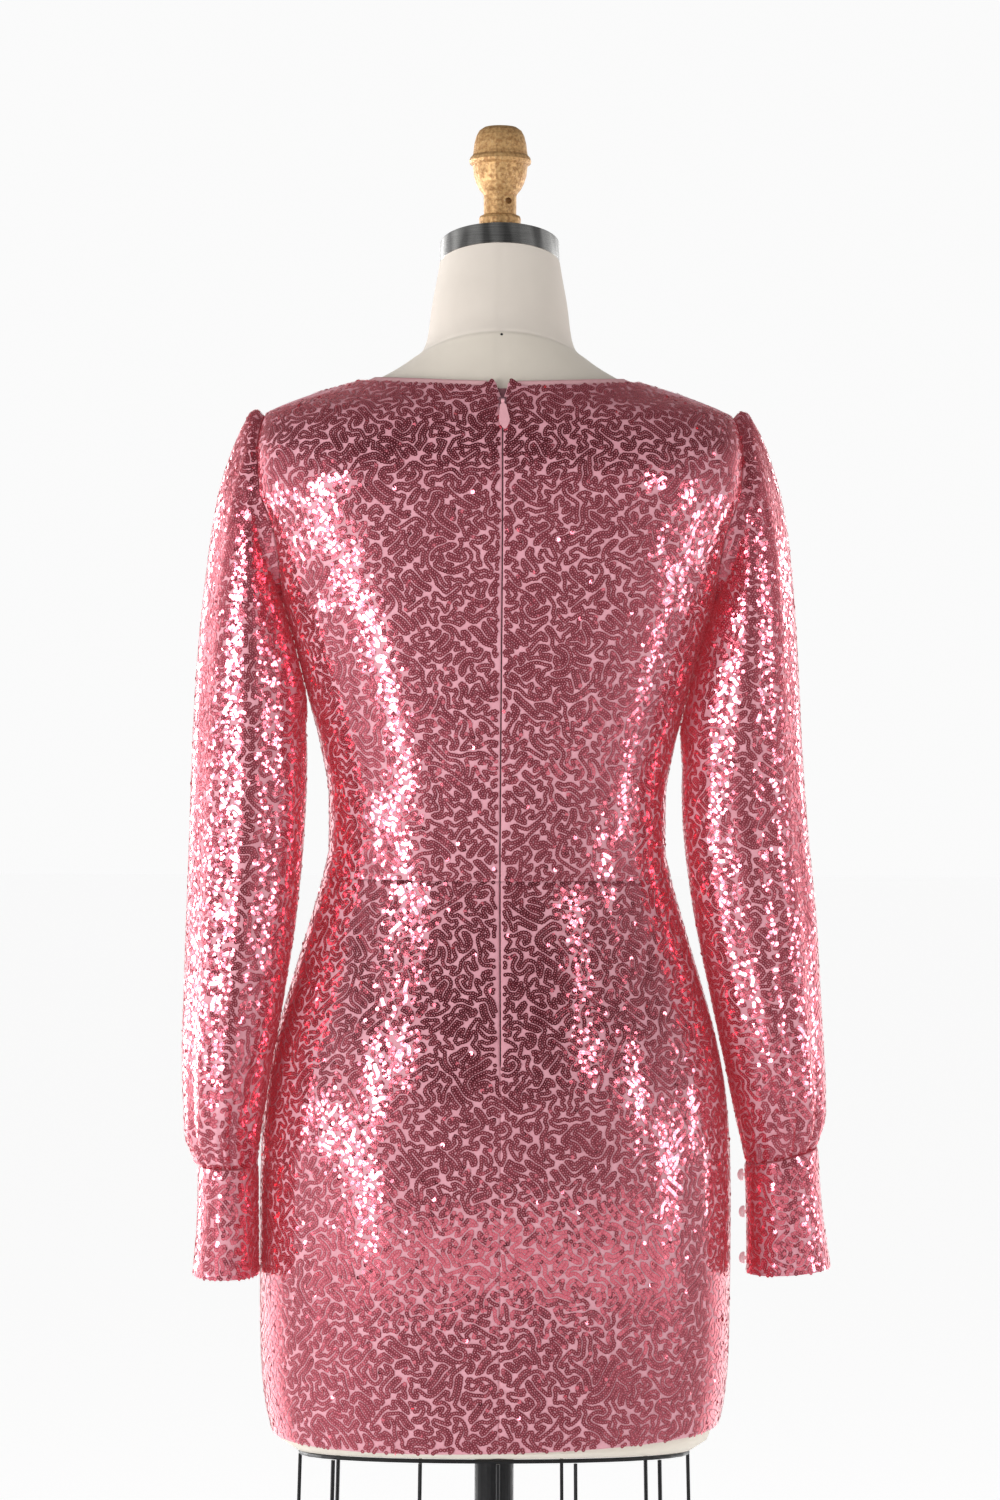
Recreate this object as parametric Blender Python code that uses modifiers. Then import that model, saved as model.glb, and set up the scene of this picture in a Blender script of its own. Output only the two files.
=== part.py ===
"""Cocktail dress on a dress form: a fitted long-sleeved mini dress, with its zip and cuff buttons.

Metres, +Z up. The front of the dress faces -Y and the wearer's left is at +X. The origin is the centre of
the base's flat underside, on the form's axis.

The form's torso is a smooth surface through the rows of BODY. A place on it is a height and a share of the
way round: 0 at the centre back, 1 at the wearer's left side, 2 at the centre front, 3 at the right side.
Every panel of the dress is a stretch of that surface moved out, so the cloth follows the form and clears it.
"""

import functools
import math

import bmesh
import bpy
import numpy as np
from mathutils import Matrix, Vector

# ---- driving sizes ----
CLOTH = 0.0012  # wall of the sequinned cloth
FACING = 0.0010  # wall of the plain neck facing and the zip's tape
EASE = 0.0030  # from the body's surface to the inner face of the cloth
FACING_OUT = 0.0023  # from the body's surface to the outer face of the facing and the tape
DRESS_OUT = EASE + CLOTH
GAP = 0.0003  # between pieces that meet
SEAM = 0.0002  # half of the gap at a seam
SHOULDER_SEAM = 0.0005  # the same at the shoulder, where the walls on its two sides lean together

HEM = 0.6370
HEM_SLOPE = 0.0035  # how much lower the hem hangs at the wearer's left side, and higher at the right
WAIST = 1.0440
UNDERARM = 1.2500
SHOULDER_TIP = 1.3885
NECK_BACK = 1.4025  # neckline at the centre back
NECK_SIDE = 1.4125  # neckline at the shoulder seam
NECK_FRONT = 1.3700  # neckline at the centre front
NECK_BACK_CURVE = 1.6
NECK_FRONT_CURVE = 0.62

ZIP_END = 0.9120
ZIP_OPENING = 0.0005  # half of the slot that the closed zip leaves
NOTCH_HALF = 0.0040  # half width of the open top of the zip
NOTCH_FOOT = 1.3925
TAPE_HALF = 0.0095
FACING_FROM_ZIP = 0.0110
FACING_ABOVE = 0.0025  # how far the facing stands above the neckline
FACING_ROWS = 4

ARMHOLE_HALF = 0.0500  # half of the armhole's depth from front to back
ARMHOLE_HEIGHT = SHOULDER_TIP - UNDERARM
ARMHOLE_MIDDLE = UNDERARM + ARMHOLE_HEIGHT / 2
SLEEVE_INSET = 0.984  # the sleeve's first ring as a share of the armhole, inside its edge

# ---- the form's torso: one row for each section ----
# flat and round are the powers of the section's curve at its back and at its sides.
# tilt is the rise of a section for each metre towards the back, as the neck leans forward.
BODY_COLUMNS = ("height", "half_width", "back", "front", "flat", "round", "tilt")
BODY = (
    (0.6165, 0.1475, 0.1080, 0.1000, 2.20, 2.20, 0.12),
    (0.6190, 0.1530, 0.1125, 0.1045, 2.20, 2.20, 0.12),
    (0.6230, 0.1580, 0.1165, 0.1080, 2.20, 2.20, 0.09),
    (0.6295, 0.1610, 0.1188, 0.1100, 2.20, 2.20, 0.04),
    (0.6355, 0.1626, 0.1200, 0.1110, 2.20, 2.20, 0.00),
    (0.6550, 0.1671, 0.1225, 0.1132, 2.20, 2.20, 0.00),
    (0.6900, 0.1704, 0.1248, 0.1148, 2.20, 2.20, 0.00),
    (0.7800, 0.1716, 0.1285, 0.1165, 2.20, 2.20, 0.00),
    (0.8350, 0.1711, 0.1282, 0.1178, 2.20, 2.20, 0.00),
    (0.8800, 0.1680, 0.1235, 0.1178, 2.20, 2.20, 0.00),
    (0.9200, 0.1612, 0.1145, 0.1160, 2.15, 2.15, 0.00),
    (0.9650, 0.1490, 0.1015, 0.1110, 2.10, 2.10, 0.00),
    (1.0100, 0.1356, 0.0895, 0.1030, 2.05, 2.10, 0.00),
    (1.0425, 0.1266, 0.0828, 0.0982, 2.05, 2.10, 0.00),
    (1.0680, 0.1216, 0.0808, 0.0966, 2.10, 2.10, 0.00),
    (1.1040, 0.1217, 0.0822, 0.0975, 2.15, 2.15, 0.00),
    (1.1400, 0.1273, 0.0868, 0.1030, 2.25, 2.20, 0.00),
    (1.1800, 0.1374, 0.0928, 0.1125, 2.35, 2.30, 0.00),
    (1.2200, 0.1478, 0.0985, 0.1240, 2.45, 2.40, 0.00),
    (1.2550, 0.1581, 0.1030, 0.1278, 2.50, 2.60, 0.00),
    (1.3000, 0.1692, 0.1058, 0.1215, 2.55, 3.00, 0.00),
    (1.3360, 0.1790, 0.1040, 0.1105, 2.60, 3.50, 0.00),
    (1.3580, 0.1787, 0.1004, 0.1010, 2.60, 3.40, 0.00),
    (1.3750, 0.1765, 0.0955, 0.0925, 2.55, 2.80, 0.00),
    (1.3885, 0.1715, 0.0898, 0.0845, 2.35, 1.90, 0.00),
    (1.3945, 0.1575, 0.0865, 0.0808, 2.15, 1.50, 0.00),
    (1.4010, 0.1415, 0.0827, 0.0768, 2.05, 1.38, 0.00),
    (1.4065, 0.1235, 0.0790, 0.0735, 2.00, 1.36, 0.01),
    (1.4125, 0.1020, 0.0748, 0.0698, 2.00, 1.42, 0.03),
    (1.4190, 0.0870, 0.0705, 0.0655, 2.00, 1.55, 0.06),
    (1.4280, 0.0705, 0.0650, 0.0600, 2.00, 1.75, 0.11),
    (1.4375, 0.0580, 0.0598, 0.0555, 2.00, 1.95, 0.16),
    (1.4480, 0.0541, 0.0556, 0.0516, 2.00, 2.00, 0.20),
    (1.4720, 0.0508, 0.0508, 0.0492, 2.00, 2.00, 0.24),
    (1.4900, 0.0475, 0.0474, 0.0470, 2.00, 2.00, 0.24),
    (1.5035, 0.0452, 0.0450, 0.0450, 2.00, 2.00, 0.24),
)
QUARTER_POINTS = 48
FULL_TURN, HALF_TURN = 4.0, 2.0  # in quarters of the way round
HEIGHT_STEP, SHARE_STEP = 0.0008, 0.01

# ---- sleeves: one row for each ring from the armhole down ----
# outer and inner are the ring's far point and its point next to the body, for the wearer's left at +X.
# middle is the ring's centre along Y, depth its half width there, and bow how far its front and back
# points lie ahead of its middle.
RING_COLUMNS = ("outer_x", "outer_z", "inner_x", "inner_z", "middle", "depth", "bow")
LEFT_SLEEVE = (
    (0.1830, 1.3950, 0.1627, 1.2470, 0.000, 0.0505, 0.0080),
    (0.1905, 1.3840, 0.1622, 1.2430, 0.000, 0.0515, 0.0065),
    (0.1985, 1.3660, 0.1608, 1.2380, 0.000, 0.0520, 0.0045),
    (0.2070, 1.3400, 0.1586, 1.2310, 0.001, 0.0525, 0.0020),
    (0.2130, 1.3100, 0.1560, 1.2230, 0.002, 0.0525, 0.0000),
    (0.2175, 1.2760, 0.1528, 1.2120, 0.003, 0.0525, 0.0000),
    (0.2215, 1.2400, 0.1492, 1.1980, 0.004, 0.0530, 0.0000),
    (0.2250, 1.1950, 0.1455, 1.1750, 0.006, 0.0530, 0.0000),
    (0.2275, 1.1400, 0.1425, 1.1350, 0.009, 0.0530, 0.0000),
    (0.2290, 1.0800, 0.1440, 1.0800, 0.014, 0.0535, 0.0000),
    (0.2305, 1.0200, 0.1490, 1.0200, 0.021, 0.0540, 0.0000),
    (0.2318, 0.9600, 0.1575, 0.9600, 0.029, 0.0540, 0.0000),
    (0.2325, 0.9100, 0.1660, 0.9100, 0.034, 0.0525, 0.0000),
    (0.2315, 0.8780, 0.1710, 0.8780, 0.035, 0.0500, 0.0000),
    (0.2300, 0.8520, 0.1745, 0.8520, 0.034, 0.0460, 0.0000),
    (0.2220, 0.8340, 0.1765, 0.8340, 0.032, 0.0395, 0.0000),
)
RIGHT_SLEEVE = (
    (0.1830, 1.3960, 0.1627, 1.2470, 0.000, 0.0505, 0.0080),
    (0.1915, 1.3850, 0.1622, 1.2430, 0.000, 0.0515, 0.0065),
    (0.2005, 1.3660, 0.1608, 1.2380, 0.000, 0.0520, 0.0045),
    (0.2090, 1.3400, 0.1586, 1.2310, 0.000, 0.0525, 0.0020),
    (0.2155, 1.3100, 0.1560, 1.2230, 0.001, 0.0525, 0.0000),
    (0.2195, 1.2760, 0.1528, 1.2120, 0.001, 0.0525, 0.0000),
    (0.2225, 1.2400, 0.1490, 1.1980, 0.002, 0.0525, 0.0000),
    (0.2252, 1.1950, 0.1442, 1.1720, 0.003, 0.0525, 0.0000),
    (0.2280, 1.1400, 0.1390, 1.1320, 0.004, 0.0525, 0.0000),
    (0.2325, 1.0800, 0.1395, 1.0800, 0.005, 0.0525, 0.0000),
    (0.2385, 1.0200, 0.1475, 1.0180, 0.007, 0.0525, 0.0000),
    (0.2420, 0.9600, 0.1600, 0.9560, 0.009, 0.0520, 0.0000),
    (0.2450, 0.9120, 0.1710, 0.9040, 0.010, 0.0500, 0.0000),
    (0.2467, 0.8840, 0.1770, 0.8740, 0.010, 0.0475, 0.0000),
    (0.2465, 0.8620, 0.1820, 0.8500, 0.010, 0.0435, 0.0000),
    (0.2410, 0.8460, 0.1860, 0.8340, 0.010, 0.0365, 0.0000),
)
LEFT_CUFF = (
    (0.2205, 0.8325, 0.1765, 0.8320, 0.032, 0.0385, 0.0000),
    (0.2212, 0.7900, 0.1762, 0.7900, 0.032, 0.0388, 0.0000),
    (0.2242, 0.7520, 0.1758, 0.7520, 0.031, 0.0385, 0.0000),
)
RIGHT_CUFF = (
    (0.2405, 0.8440, 0.1865, 0.8320, 0.010, 0.0355, 0.0000),
    (0.2438, 0.7990, 0.1882, 0.7900, 0.010, 0.0354, 0.0000),
    (0.2505, 0.7550, 0.1884, 0.7500, 0.010, 0.0350, 0.0000),
)
RING_POINTS = 24

# The largest soft folds of a sleeve: where each lies round the ring in degrees (0 at the outer point, 90 at
# the back), how wide it is, and how deep it is at the sleeve's head, at its middle and at the cuff.
FOLD_COLUMNS = ("angle", "spread", "head", "middle", "foot")
SLEEVE_FOLDS = (
    (38.0, 15.0, -0.0015, -0.0025, -0.0040),
    (75.0, 15.0, -0.0010, -0.0035, -0.0045),
    (112.0, 17.0, -0.0015, -0.0030, -0.0040),
    (205.0, 20.0, 0.0000, -0.0015, -0.0030),
    (248.0, 16.0, -0.0010, -0.0030, -0.0045),
    (290.0, 16.0, -0.0015, -0.0035, -0.0040),
    (328.0, 15.0, -0.0015, -0.0020, -0.0040),
)

# ---- zip slider and pull ----
ZIP_PIVOT_HEIGHT = 1.3890
SLIDER = Vector((0.0058, 0.0020, 0.0088))  # width, thickness, length
SLIDER_EDGE = 0.0004
BAR_RADIUS, BAR_HALF = 0.0005, 0.0026
EYE_HOLE, EYE_RADIUS, EYE_HALF = 0.0009, 0.0015, 0.0013
LUG_THICKNESS, LUG_LENGTH, LUG_ROOT = 0.0009, 0.0022, 0.0005
BAR_ABOVE_SLIDER = 0.0019
BAR_SIDES = 16
TAB_LENGTH, TAB_THICKNESS = 0.0215, 0.0012
TAB_OUTLINE = (  # half width, distance below the bar
    (0.0011, 0.0008),
    (0.0011, 0.0024),
    (0.0023, 0.0034),
    (0.0040, 0.0150),
    (0.0037, 0.0170),
    (0.0010, TAB_LENGTH),
)
TAB_LEAN = math.radians(4.5)
TAB_CLEARANCE = 0.0013  # from the cloth to the tab's inner face at its tip
DROOP_STEP = math.radians(0.1)

# ---- cuff buttons ----
BUTTON_RADIUS, BUTTON_DOME, BUTTON_EDGE = 0.0047, 0.0034, 0.0010
BUTTON_UNDER = 0.0042  # radius of the flat underside
BUTTON_SIDES, DOME_STEPS = 16, 4
SHANK_RADIUS, SHANK_LENGTH = 0.0014, 0.0014
BUTTON_DROPS = (0.12, 0.45, 0.88)  # shares of the cuff's height from its top
BUTTON_ANGLES = {"left": 250.0, "right": 193.0}  # round the cuff, 180 next to the body

# ---- the form's neck cap, finial, cage, pole and base ----
NECK_TOP = BODY[-1][0]
NECK_LEAN = math.atan(BODY[-1][-1])
CAP_RADIUS, CAP_HEIGHT, CAP_EDGE, CAP_SIDES = 0.0448, 0.0166, 0.0008, 48
FINIAL_PROFILE = (  # radius, height
    (0.0070, 1.6073),
    (0.0124, 1.6066),
    (0.0160, 1.6040),
    (0.0181, 1.6000),
    (0.0195, 1.5945),
    (0.0202, 1.5885),
    (0.0207, 1.5858),
    (0.0226, 1.5838),
    (0.0233, 1.5815),
    (0.0228, 1.5794),
    (0.0206, 1.5780),
    (0.0203, 1.5760),
    (0.0197, 1.5704),
    (0.0180, 1.5650),
    (0.0156, 1.5602),
    (0.0132, 1.5573),
    (0.0123, 1.5556),
    (0.0122, 1.5412),
    (0.0150, 1.5400),
    (0.0157, 1.5383),
    (0.0155, 1.5350),
)
FINIAL_POINTS = 32
FINIAL_HOLE_RADIUS = 0.0025
FINIAL_HOLE = Vector((-0.0060, 0.0120, 1.5505))
FINIAL_HOLE_DEPTH, FINIAL_HOLE_SIDES = 0.0130, 20

ROD_RADIUS = 0.0016
WIRE_RADIUS = 0.0015
CAGE_TOP = BODY[0][0] - GAP - ROD_RADIUS
CAGE_FOOT = 0.3300
CAGE_SHARE, CAGE_FLARE = 0.985, 0.050  # of the form's foot, at the top and added at the bottom
WIRE_SHARES = (0.28, 0.64)  # the wires between the centre back and the side
RING_STEPS = 40
POLE_RADIUS, POLE_SIDES = 0.0146, 32
POLE_TOP = BODY[0][0] - BODY[0][-1] * POLE_RADIUS - GAP  # under the low side of the form's sloping foot
BASE_RADIUS, BASE_HEIGHT, BASE_RIM = 0.2000, 0.0260, 0.0120
BASE_BOSS, BOSS_FOOT = 0.0300, (0.0390, 0.0180)  # radius; radius and height of its foot
BASE_SIDES, RIM_STEPS = 48, 4

TORSO_POINTS = 36
TORSO_HEIGHTS = (
    0.6165, 0.6190, 0.6230, 0.6295, 0.6355, 0.6550, 0.6900, 0.7400, 0.7900, 0.8400, 0.8900,
    0.9400, 0.9900, 1.0400, 1.0900, 1.1400, 1.1900, 1.2400, 1.2900, 1.3300, 1.3600, 1.3790,
    1.3940, 1.4010, 1.4065, 1.4125, 1.4190, 1.4280, 1.4375, 1.4480, 1.4720, 1.4900, 1.5035,
)

# Rows of the bodice along its side edge, and of the skirt. Those of the armhole lie at the sleeve's points.
ARMHOLE_ROWS = tuple(
    ARMHOLE_MIDDLE - ARMHOLE_HEIGHT / 2 * math.cos(2 * math.pi * i / RING_POINTS)
    for i in range(RING_POINTS // 2 + 1)
)
BODICE_ROWS = (WAIST + SEAM, 1.0850, 1.1250, 1.1650, 1.2050, 1.2300)
BODICE_ROWS += ARMHOLE_ROWS + (1.3945, 1.4010, 1.4065, NECK_SIDE)
SKIRT_ROWS = (HEM, 0.6500, 0.6800, 0.7400, 0.8000, 0.8600, ZIP_END, 0.9550, 1.0000, WAIST - SEAM)
COLUMNS = 8  # of each quarter of the way round
CROWDING = 1.3  # how much closer the columns lie towards the side, from 1 for evenly spaced
BACK_STEPS = tuple(1 - (1 - i / COLUMNS) ** CROWDING for i in range(COLUMNS + 1))
FRONT_STEPS = tuple(1 - u for u in BACK_STEPS[::-1]) + tuple(1 + u for u in BACK_STEPS[1:])

COLOURS = {  # base colour, roughness, metallic
    "sequins": ((0.46, 0.13, 0.20, 1.0), 0.35, 0.6),
    "facing": ((0.72, 0.30, 0.36, 1.0), 0.60, 0.0),
    "zip": ((0.62, 0.26, 0.31, 1.0), 0.50, 0.0),
    "pearl": ((0.86, 0.68, 0.70, 1.0), 0.25, 0.0),
    "canvas": ((0.66, 0.61, 0.54, 1.0), 0.85, 0.0),
    "steel": ((0.45, 0.45, 0.46, 1.0), 0.30, 1.0),
    "bronze": ((0.60, 0.38, 0.20, 1.0), 0.50, 0.7),
    "black_metal": ((0.015, 0.015, 0.016, 1.0), 0.40, 0.5),
}
SMOOTH_ANGLE = math.radians(40)


# ---- scene helpers ----
def clear_scene():
    for item in list(bpy.data.objects):
        bpy.data.objects.remove(item)


def new_collection(name):
    collection = bpy.data.collections.new(name)
    bpy.context.scene.collection.children.link(collection)
    return collection


def material(name):
    colour, roughness, metallic = COLOURS[name]
    made = bpy.data.materials.get(name) or bpy.data.materials.new(name)
    made.use_nodes = True
    shader = made.node_tree.nodes["Principled BSDF"]
    shader.inputs["Base Color"].default_value = colour
    shader.inputs["Roughness"].default_value = roughness
    shader.inputs["Metallic"].default_value = metallic
    return made


def add(name, data, finish, parent=None):
    """A new object in the part's collection, with its own copy of a finish."""
    item = bpy.data.objects.new(name, data)
    PART.objects.link(item)
    own = material(finish).copy()
    own.name = f"{name}_{finish}"
    data.materials.clear()
    data.materials.append(own)
    item.parent = parent
    return item


def shade(mesh):
    mesh.shade_smooth()
    mesh.set_sharp_from_angle(angle=SMOOTH_ANGLE)


def loft(name, rows, finish, parent, wrap=False, capped=False):
    """A surface through rows of points, closed round each row if wrap, and with flat ends if capped."""
    net = bmesh.new()
    rings = [[net.verts.new(point) for point in row] for row in rows]
    count = len(rings[0])
    for low, high in zip(rings, rings[1:]):
        for i in range(count if wrap else count - 1):
            j = (i + 1) % count
            net.faces.new((low[i], high[i], high[j], low[j]))
    if capped:
        net.faces.new(rings[0])
        net.faces.new(rings[-1][::-1])
    mesh = bpy.data.meshes.new(name)
    net.to_mesh(mesh)
    net.free()
    shade(mesh)
    return add(name, mesh, finish, parent)


def wall(item, thickness):
    """Makes a surface a wall, with the surface as its outer face."""
    solid = item.modifiers.new("wall", "SOLIDIFY")
    solid.thickness = thickness
    solid.offset = -1
    solid.use_quality_normals = True


def turned(name, profile, finish, parent, steps):
    """A shape turned round Z from a profile of (radius, height), from the top down its outer side."""
    mesh = bpy.data.meshes.new(name)
    points = [(radius, 0.0, height) for radius, height in profile]
    mesh.from_pydata(points, [(i, i + 1) for i in range(len(points) - 1)], [])
    item = add(name, mesh, finish, parent)
    screw = item.modifiers.new("turn", "SCREW")
    screw.steps = screw.render_steps = steps
    screw.use_merge_vertices = True
    screw.merge_threshold = 0.00001
    screw.use_smooth_shade = False
    return item


def rod(name, points, radius, finish, parent, closed=False):
    """A round bar along a line of points."""
    curve = bpy.data.curves.new(name, "CURVE")
    curve.dimensions = "3D"
    curve.bevel_depth = radius
    curve.bevel_resolution = 1
    curve.use_fill_caps = not closed
    spline = curve.splines.new("POLY")
    spline.points.add(len(points) - 1)
    for place, point in zip(spline.points, points):
        place.co = (*point, 1.0)
    spline.use_cyclic_u = closed
    return add(name, curve, finish, parent)


def empty(name, parent=None):
    item = bpy.data.objects.new(name, None)
    PART.objects.link(item)
    item.parent = parent
    return item


# ---- the body's surface ----
def columns(names, rows):
    return dict(zip(names, np.array(rows).T))


def smooth(places, values, at):
    """The value at a place on a smooth curve through a table's column, with no overshoot between rows."""
    steps = np.diff(places)
    rises = np.diff(values) / steps
    slopes = np.zeros(len(places))
    slopes[0], slopes[-1] = rises[0], rises[-1]
    for i in range(1, len(places) - 1):
        if rises[i - 1] * rises[i] > 0:
            near, far = 2 * steps[i] + steps[i - 1], steps[i] + 2 * steps[i - 1]
            slopes[i] = (near + far) / (near / rises[i - 1] + far / rises[i])
    at = min(max(at, places[0]), places[-1])
    i = min(int(np.searchsorted(places, at, side="right")) - 1, len(steps) - 1)
    t = (at - places[i]) / steps[i]
    return (
        values[i] * (1 + 2 * t) * (1 - t) ** 2
        + values[i + 1] * t * t * (3 - 2 * t)
        + steps[i] * t * (1 - t) * (slopes[i] * (1 - t) - slopes[i + 1] * t)
    )


BODY_TABLE = columns(BODY_COLUMNS, BODY)


@functools.lru_cache(maxsize=None)
def section(height):
    """One side of the body's section: shares from 0 to 2, x and y along it, and the section's tilt."""
    at = {name: smooth(BODY_TABLE["height"], BODY_TABLE[name], height) for name in BODY_COLUMNS[1:]}
    turn = np.linspace(0, math.pi / 2, QUARTER_POINTS)
    across = at["half_width"] * np.sin(turn) ** (2 / at["flat"])
    ahead = np.cos(turn) ** (2 / at["round"])
    ahead[-1] = 0
    shares = []
    for reach in (at["back"], at["front"]):
        lengths = np.hypot(np.diff(across), np.diff(reach * ahead))
        shares.append(np.concatenate([[0], np.cumsum(lengths)]) / lengths.sum())
    share = np.concatenate([shares[0], HALF_TURN - shares[1][-2::-1]])
    x = np.concatenate([across, across[-2::-1]])
    y = np.concatenate([at["back"] * ahead, -at["front"] * ahead[-2::-1]])
    return share, x, y, at["tilt"]


def quarter_length(height):
    share, x, y, _ = section(height)
    back = share <= 1
    return float(np.hypot(np.diff(x[back]), np.diff(y[back])).sum())


def on_body(height, share):
    share %= FULL_TURN
    known, x, y, tilt = section(height)
    near = FULL_TURN - share if share > HALF_TURN else share
    side = -1 if share > HALF_TURN else 1
    back = float(np.interp(near, known, y))
    return Vector((side * float(np.interp(near, known, x)), back, height + tilt * back))


def off_body(height, share, out):
    """A point of the body's surface, moved out along its normal."""
    up = on_body(height + HEIGHT_STEP, share) - on_body(height - HEIGHT_STEP, share)
    along = on_body(height, share + SHARE_STEP) - on_body(height, share - SHARE_STEP)
    return on_body(height, share) + out * up.cross(along).normalized()


def share_at(height, y):
    """Where the wearer's left half of the section reaches y."""
    known, _, back, _ = section(height)
    return float(np.interp(-y, -back, known))


def from_centre(height, distance):
    """The share that lies a distance from the centre back."""
    return distance / quarter_length(height)


# ---- the dress's outlines ----
def armhole_reach(height):
    """Half of the armhole's opening at a height, 0 above and below it."""
    rise = (height - ARMHOLE_MIDDLE) / (ARMHOLE_HEIGHT / 2)
    return ARMHOLE_HALF * math.sqrt(max(0.0, 1 - rise * rise))


def side_seam(height):
    return from_centre(height, SHOULDER_SEAM if height > ARMHOLE_MIDDLE else SEAM)


def back_edge(height):
    """The share where the left back panel ends: its side seam, the armhole or the shoulder seam."""
    reach = armhole_reach(height)
    seam = 1 - side_seam(height)
    return min(seam, share_at(height, reach)) if reach else seam


def front_edge(height):
    reach = armhole_reach(height)
    seam = 1 + side_seam(height)
    return max(seam, share_at(height, -reach)) if reach else seam


def centre_edge(height):
    """Half of the opening between the two back panels: the zip's slot, its notch or the plain seam."""
    if height < ZIP_END:
        return SEAM
    rise = (height - NOTCH_FOOT) / (NECK_BACK - NOTCH_FOOT)
    return ZIP_OPENING + (NOTCH_HALF - ZIP_OPENING) * min(max(rise, 0.0), 1.0)


def neck_back(across):
    """The neckline's height on the back, from the centre at 0 to the shoulder seam at 1."""
    return NECK_BACK + (NECK_SIDE - NECK_BACK) * across**NECK_BACK_CURVE


def neck_front(across):
    """The neckline's height on the front, from the shoulder seam at 0 to the centre at 1."""
    return NECK_SIDE + (NECK_FRONT - NECK_SIDE) * math.sin(math.pi / 2 * across) ** (1 / NECK_FRONT_CURVE)


def hemline(share):
    return HEM - HEM_SLOPE * math.sin(math.pi / 2 * share)


def column_heights(rows, foot=None, top=None, above=None):
    """The side rows' heights, carried over to a column from foot to top, with a row above them if given."""
    low, high = rows[0], rows[-1]
    foot, top = low if foot is None else foot, high if top is None else top
    heights = [foot + (row - low) * (top - foot) / (high - low) for row in rows]
    return heights if above is None else heights + [top + above]


def back_grid(side, rows, foot=None, top=None, out=DRESS_OUT, above=None, clear=0.0):
    """Rows of points over a back panel, from the zip to its outer edge, the way round that loft wants.

    foot gives a column's lowest height from its share, and top its highest from 0 at the centre to 1 at the
    side. above adds a row over the top. clear is the least distance from the centre back.
    """
    turn = 1 if side == "left" else -1
    heights = [column_heights(rows, foot and foot(turn * u), top and top(u), above) for u in BACK_STEPS]
    grid = []
    for r, side_height in enumerate(column_heights(rows, above=above)):
        outer = back_edge(side_height)
        row = []
        for u, column in zip(BACK_STEPS, heights):
            height = column[r]
            start = from_centre(height, centre_edge(height))
            share = max(start + (outer - start) * u, from_centre(height, clear))
            row.append(off_body(height, turn * share, out))
        grid.append(row[::turn])
    return grid


def front_grid(rows, foot=None, top=None, out=DRESS_OUT, above=None):
    """Rows of points over the front panel, from the wearer's left to the right."""
    heights = []
    for u in FRONT_STEPS:
        heights.append(column_heights(rows, foot and foot(1 + u), top and top(min(u, 2 - u)), above))
    grid = []
    for r, side_height in enumerate(column_heights(rows, above=above)):
        start = front_edge(side_height)
        row = []
        for u, column in zip(FRONT_STEPS, heights):
            row.append(off_body(column[r], start + (HALF_TURN - start) * u, out))
        grid.append(row)
    return grid


# ---- the dress ----
def make_panels(parent):
    grids = {
        "bodice_front": front_grid(BODICE_ROWS, top=neck_front),
        "skirt_front": front_grid(SKIRT_ROWS, foot=hemline),
    }
    for side in ("left", "right"):
        grids[f"bodice_back_{side}"] = back_grid(side, BODICE_ROWS, top=neck_back)
        grids[f"skirt_back_{side}"] = back_grid(side, SKIRT_ROWS, foot=hemline)
    for name, grid in grids.items():
        wall(loft(name, grid, "sequins", parent), CLOTH)


def make_facings(parent):
    """Plain strips inside the neckline that stand a little above it."""
    raised = {"out": FACING_OUT, "above": FACING_ABOVE}
    for side in ("left", "right"):
        rows = back_grid(side, BODICE_ROWS, top=neck_back, clear=FACING_FROM_ZIP, **raised)
        wall(loft(f"neck_facing_back_{side}", rows[-FACING_ROWS:], "facing", parent), FACING)
    rows = front_grid(BODICE_ROWS, top=neck_front, **raised)
    wall(loft("neck_facing_front", rows[-FACING_ROWS:], "facing", parent), FACING)


def sleeve_fold(angle, down):
    """How far a sleeve's soft folds move its ring out at an angle in degrees, down from 0 to 1."""
    table = columns(FOLD_COLUMNS, SLEEVE_FOLDS)
    away = (angle - table["angle"] + 180) % 360 - 180
    depth = np.where(
        down < 0.5,
        table["head"] + (table["middle"] - table["head"]) * 2 * down,
        table["middle"] + (table["foot"] - table["middle"]) * (2 * down - 1),
    )
    return float((depth * np.exp(-((away / table["spread"]) ** 2))).sum())


def ring(row, side, down=None):
    """The points of one ring of a sleeve or cuff, from its outer point round by the back."""
    at = dict(zip(RING_COLUMNS, row))
    outer = Vector((at["outer_x"], 0, at["outer_z"]))
    inner = Vector((at["inner_x"], 0, at["inner_z"]))
    centre = (outer + inner) / 2
    half = (outer - inner) / 2
    onward = half.cross(Vector((0, -1, 0))).normalized()
    points = []
    for i in range(RING_POINTS):
        angle = 2 * math.pi * i / RING_POINTS
        reach = half * math.cos(angle) + Vector((0, at["depth"] * math.sin(angle), 0))
        if down is not None:
            reach += reach.normalized() * sleeve_fold(math.degrees(angle), down)
        point = centre + reach + onward * at["bow"] * math.sin(angle) ** 2
        points.append(Vector((point.x * side, point.y + at["middle"], point.z)))
    return points


def armhole_ring(side):
    """The sleeve's first ring, just inside the armhole's edge."""
    points = []
    for i in range(RING_POINTS):
        angle = 2 * math.pi * i / RING_POINTS
        height = ARMHOLE_MIDDLE + SLEEVE_INSET * ARMHOLE_HEIGHT / 2 * math.cos(angle)
        y = SLEEVE_INSET * ARMHOLE_HALF * math.sin(angle)
        point = off_body(height, share_at(height, y), DRESS_OUT)
        points.append(Vector((point.x * side, point.y, point.z)))
    return points


def downwards(rings, side):
    """Rings from the armhole down, turned round for the wearer's right so that faces still point out."""
    return rings if side > 0 else rings[::-1]


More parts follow.
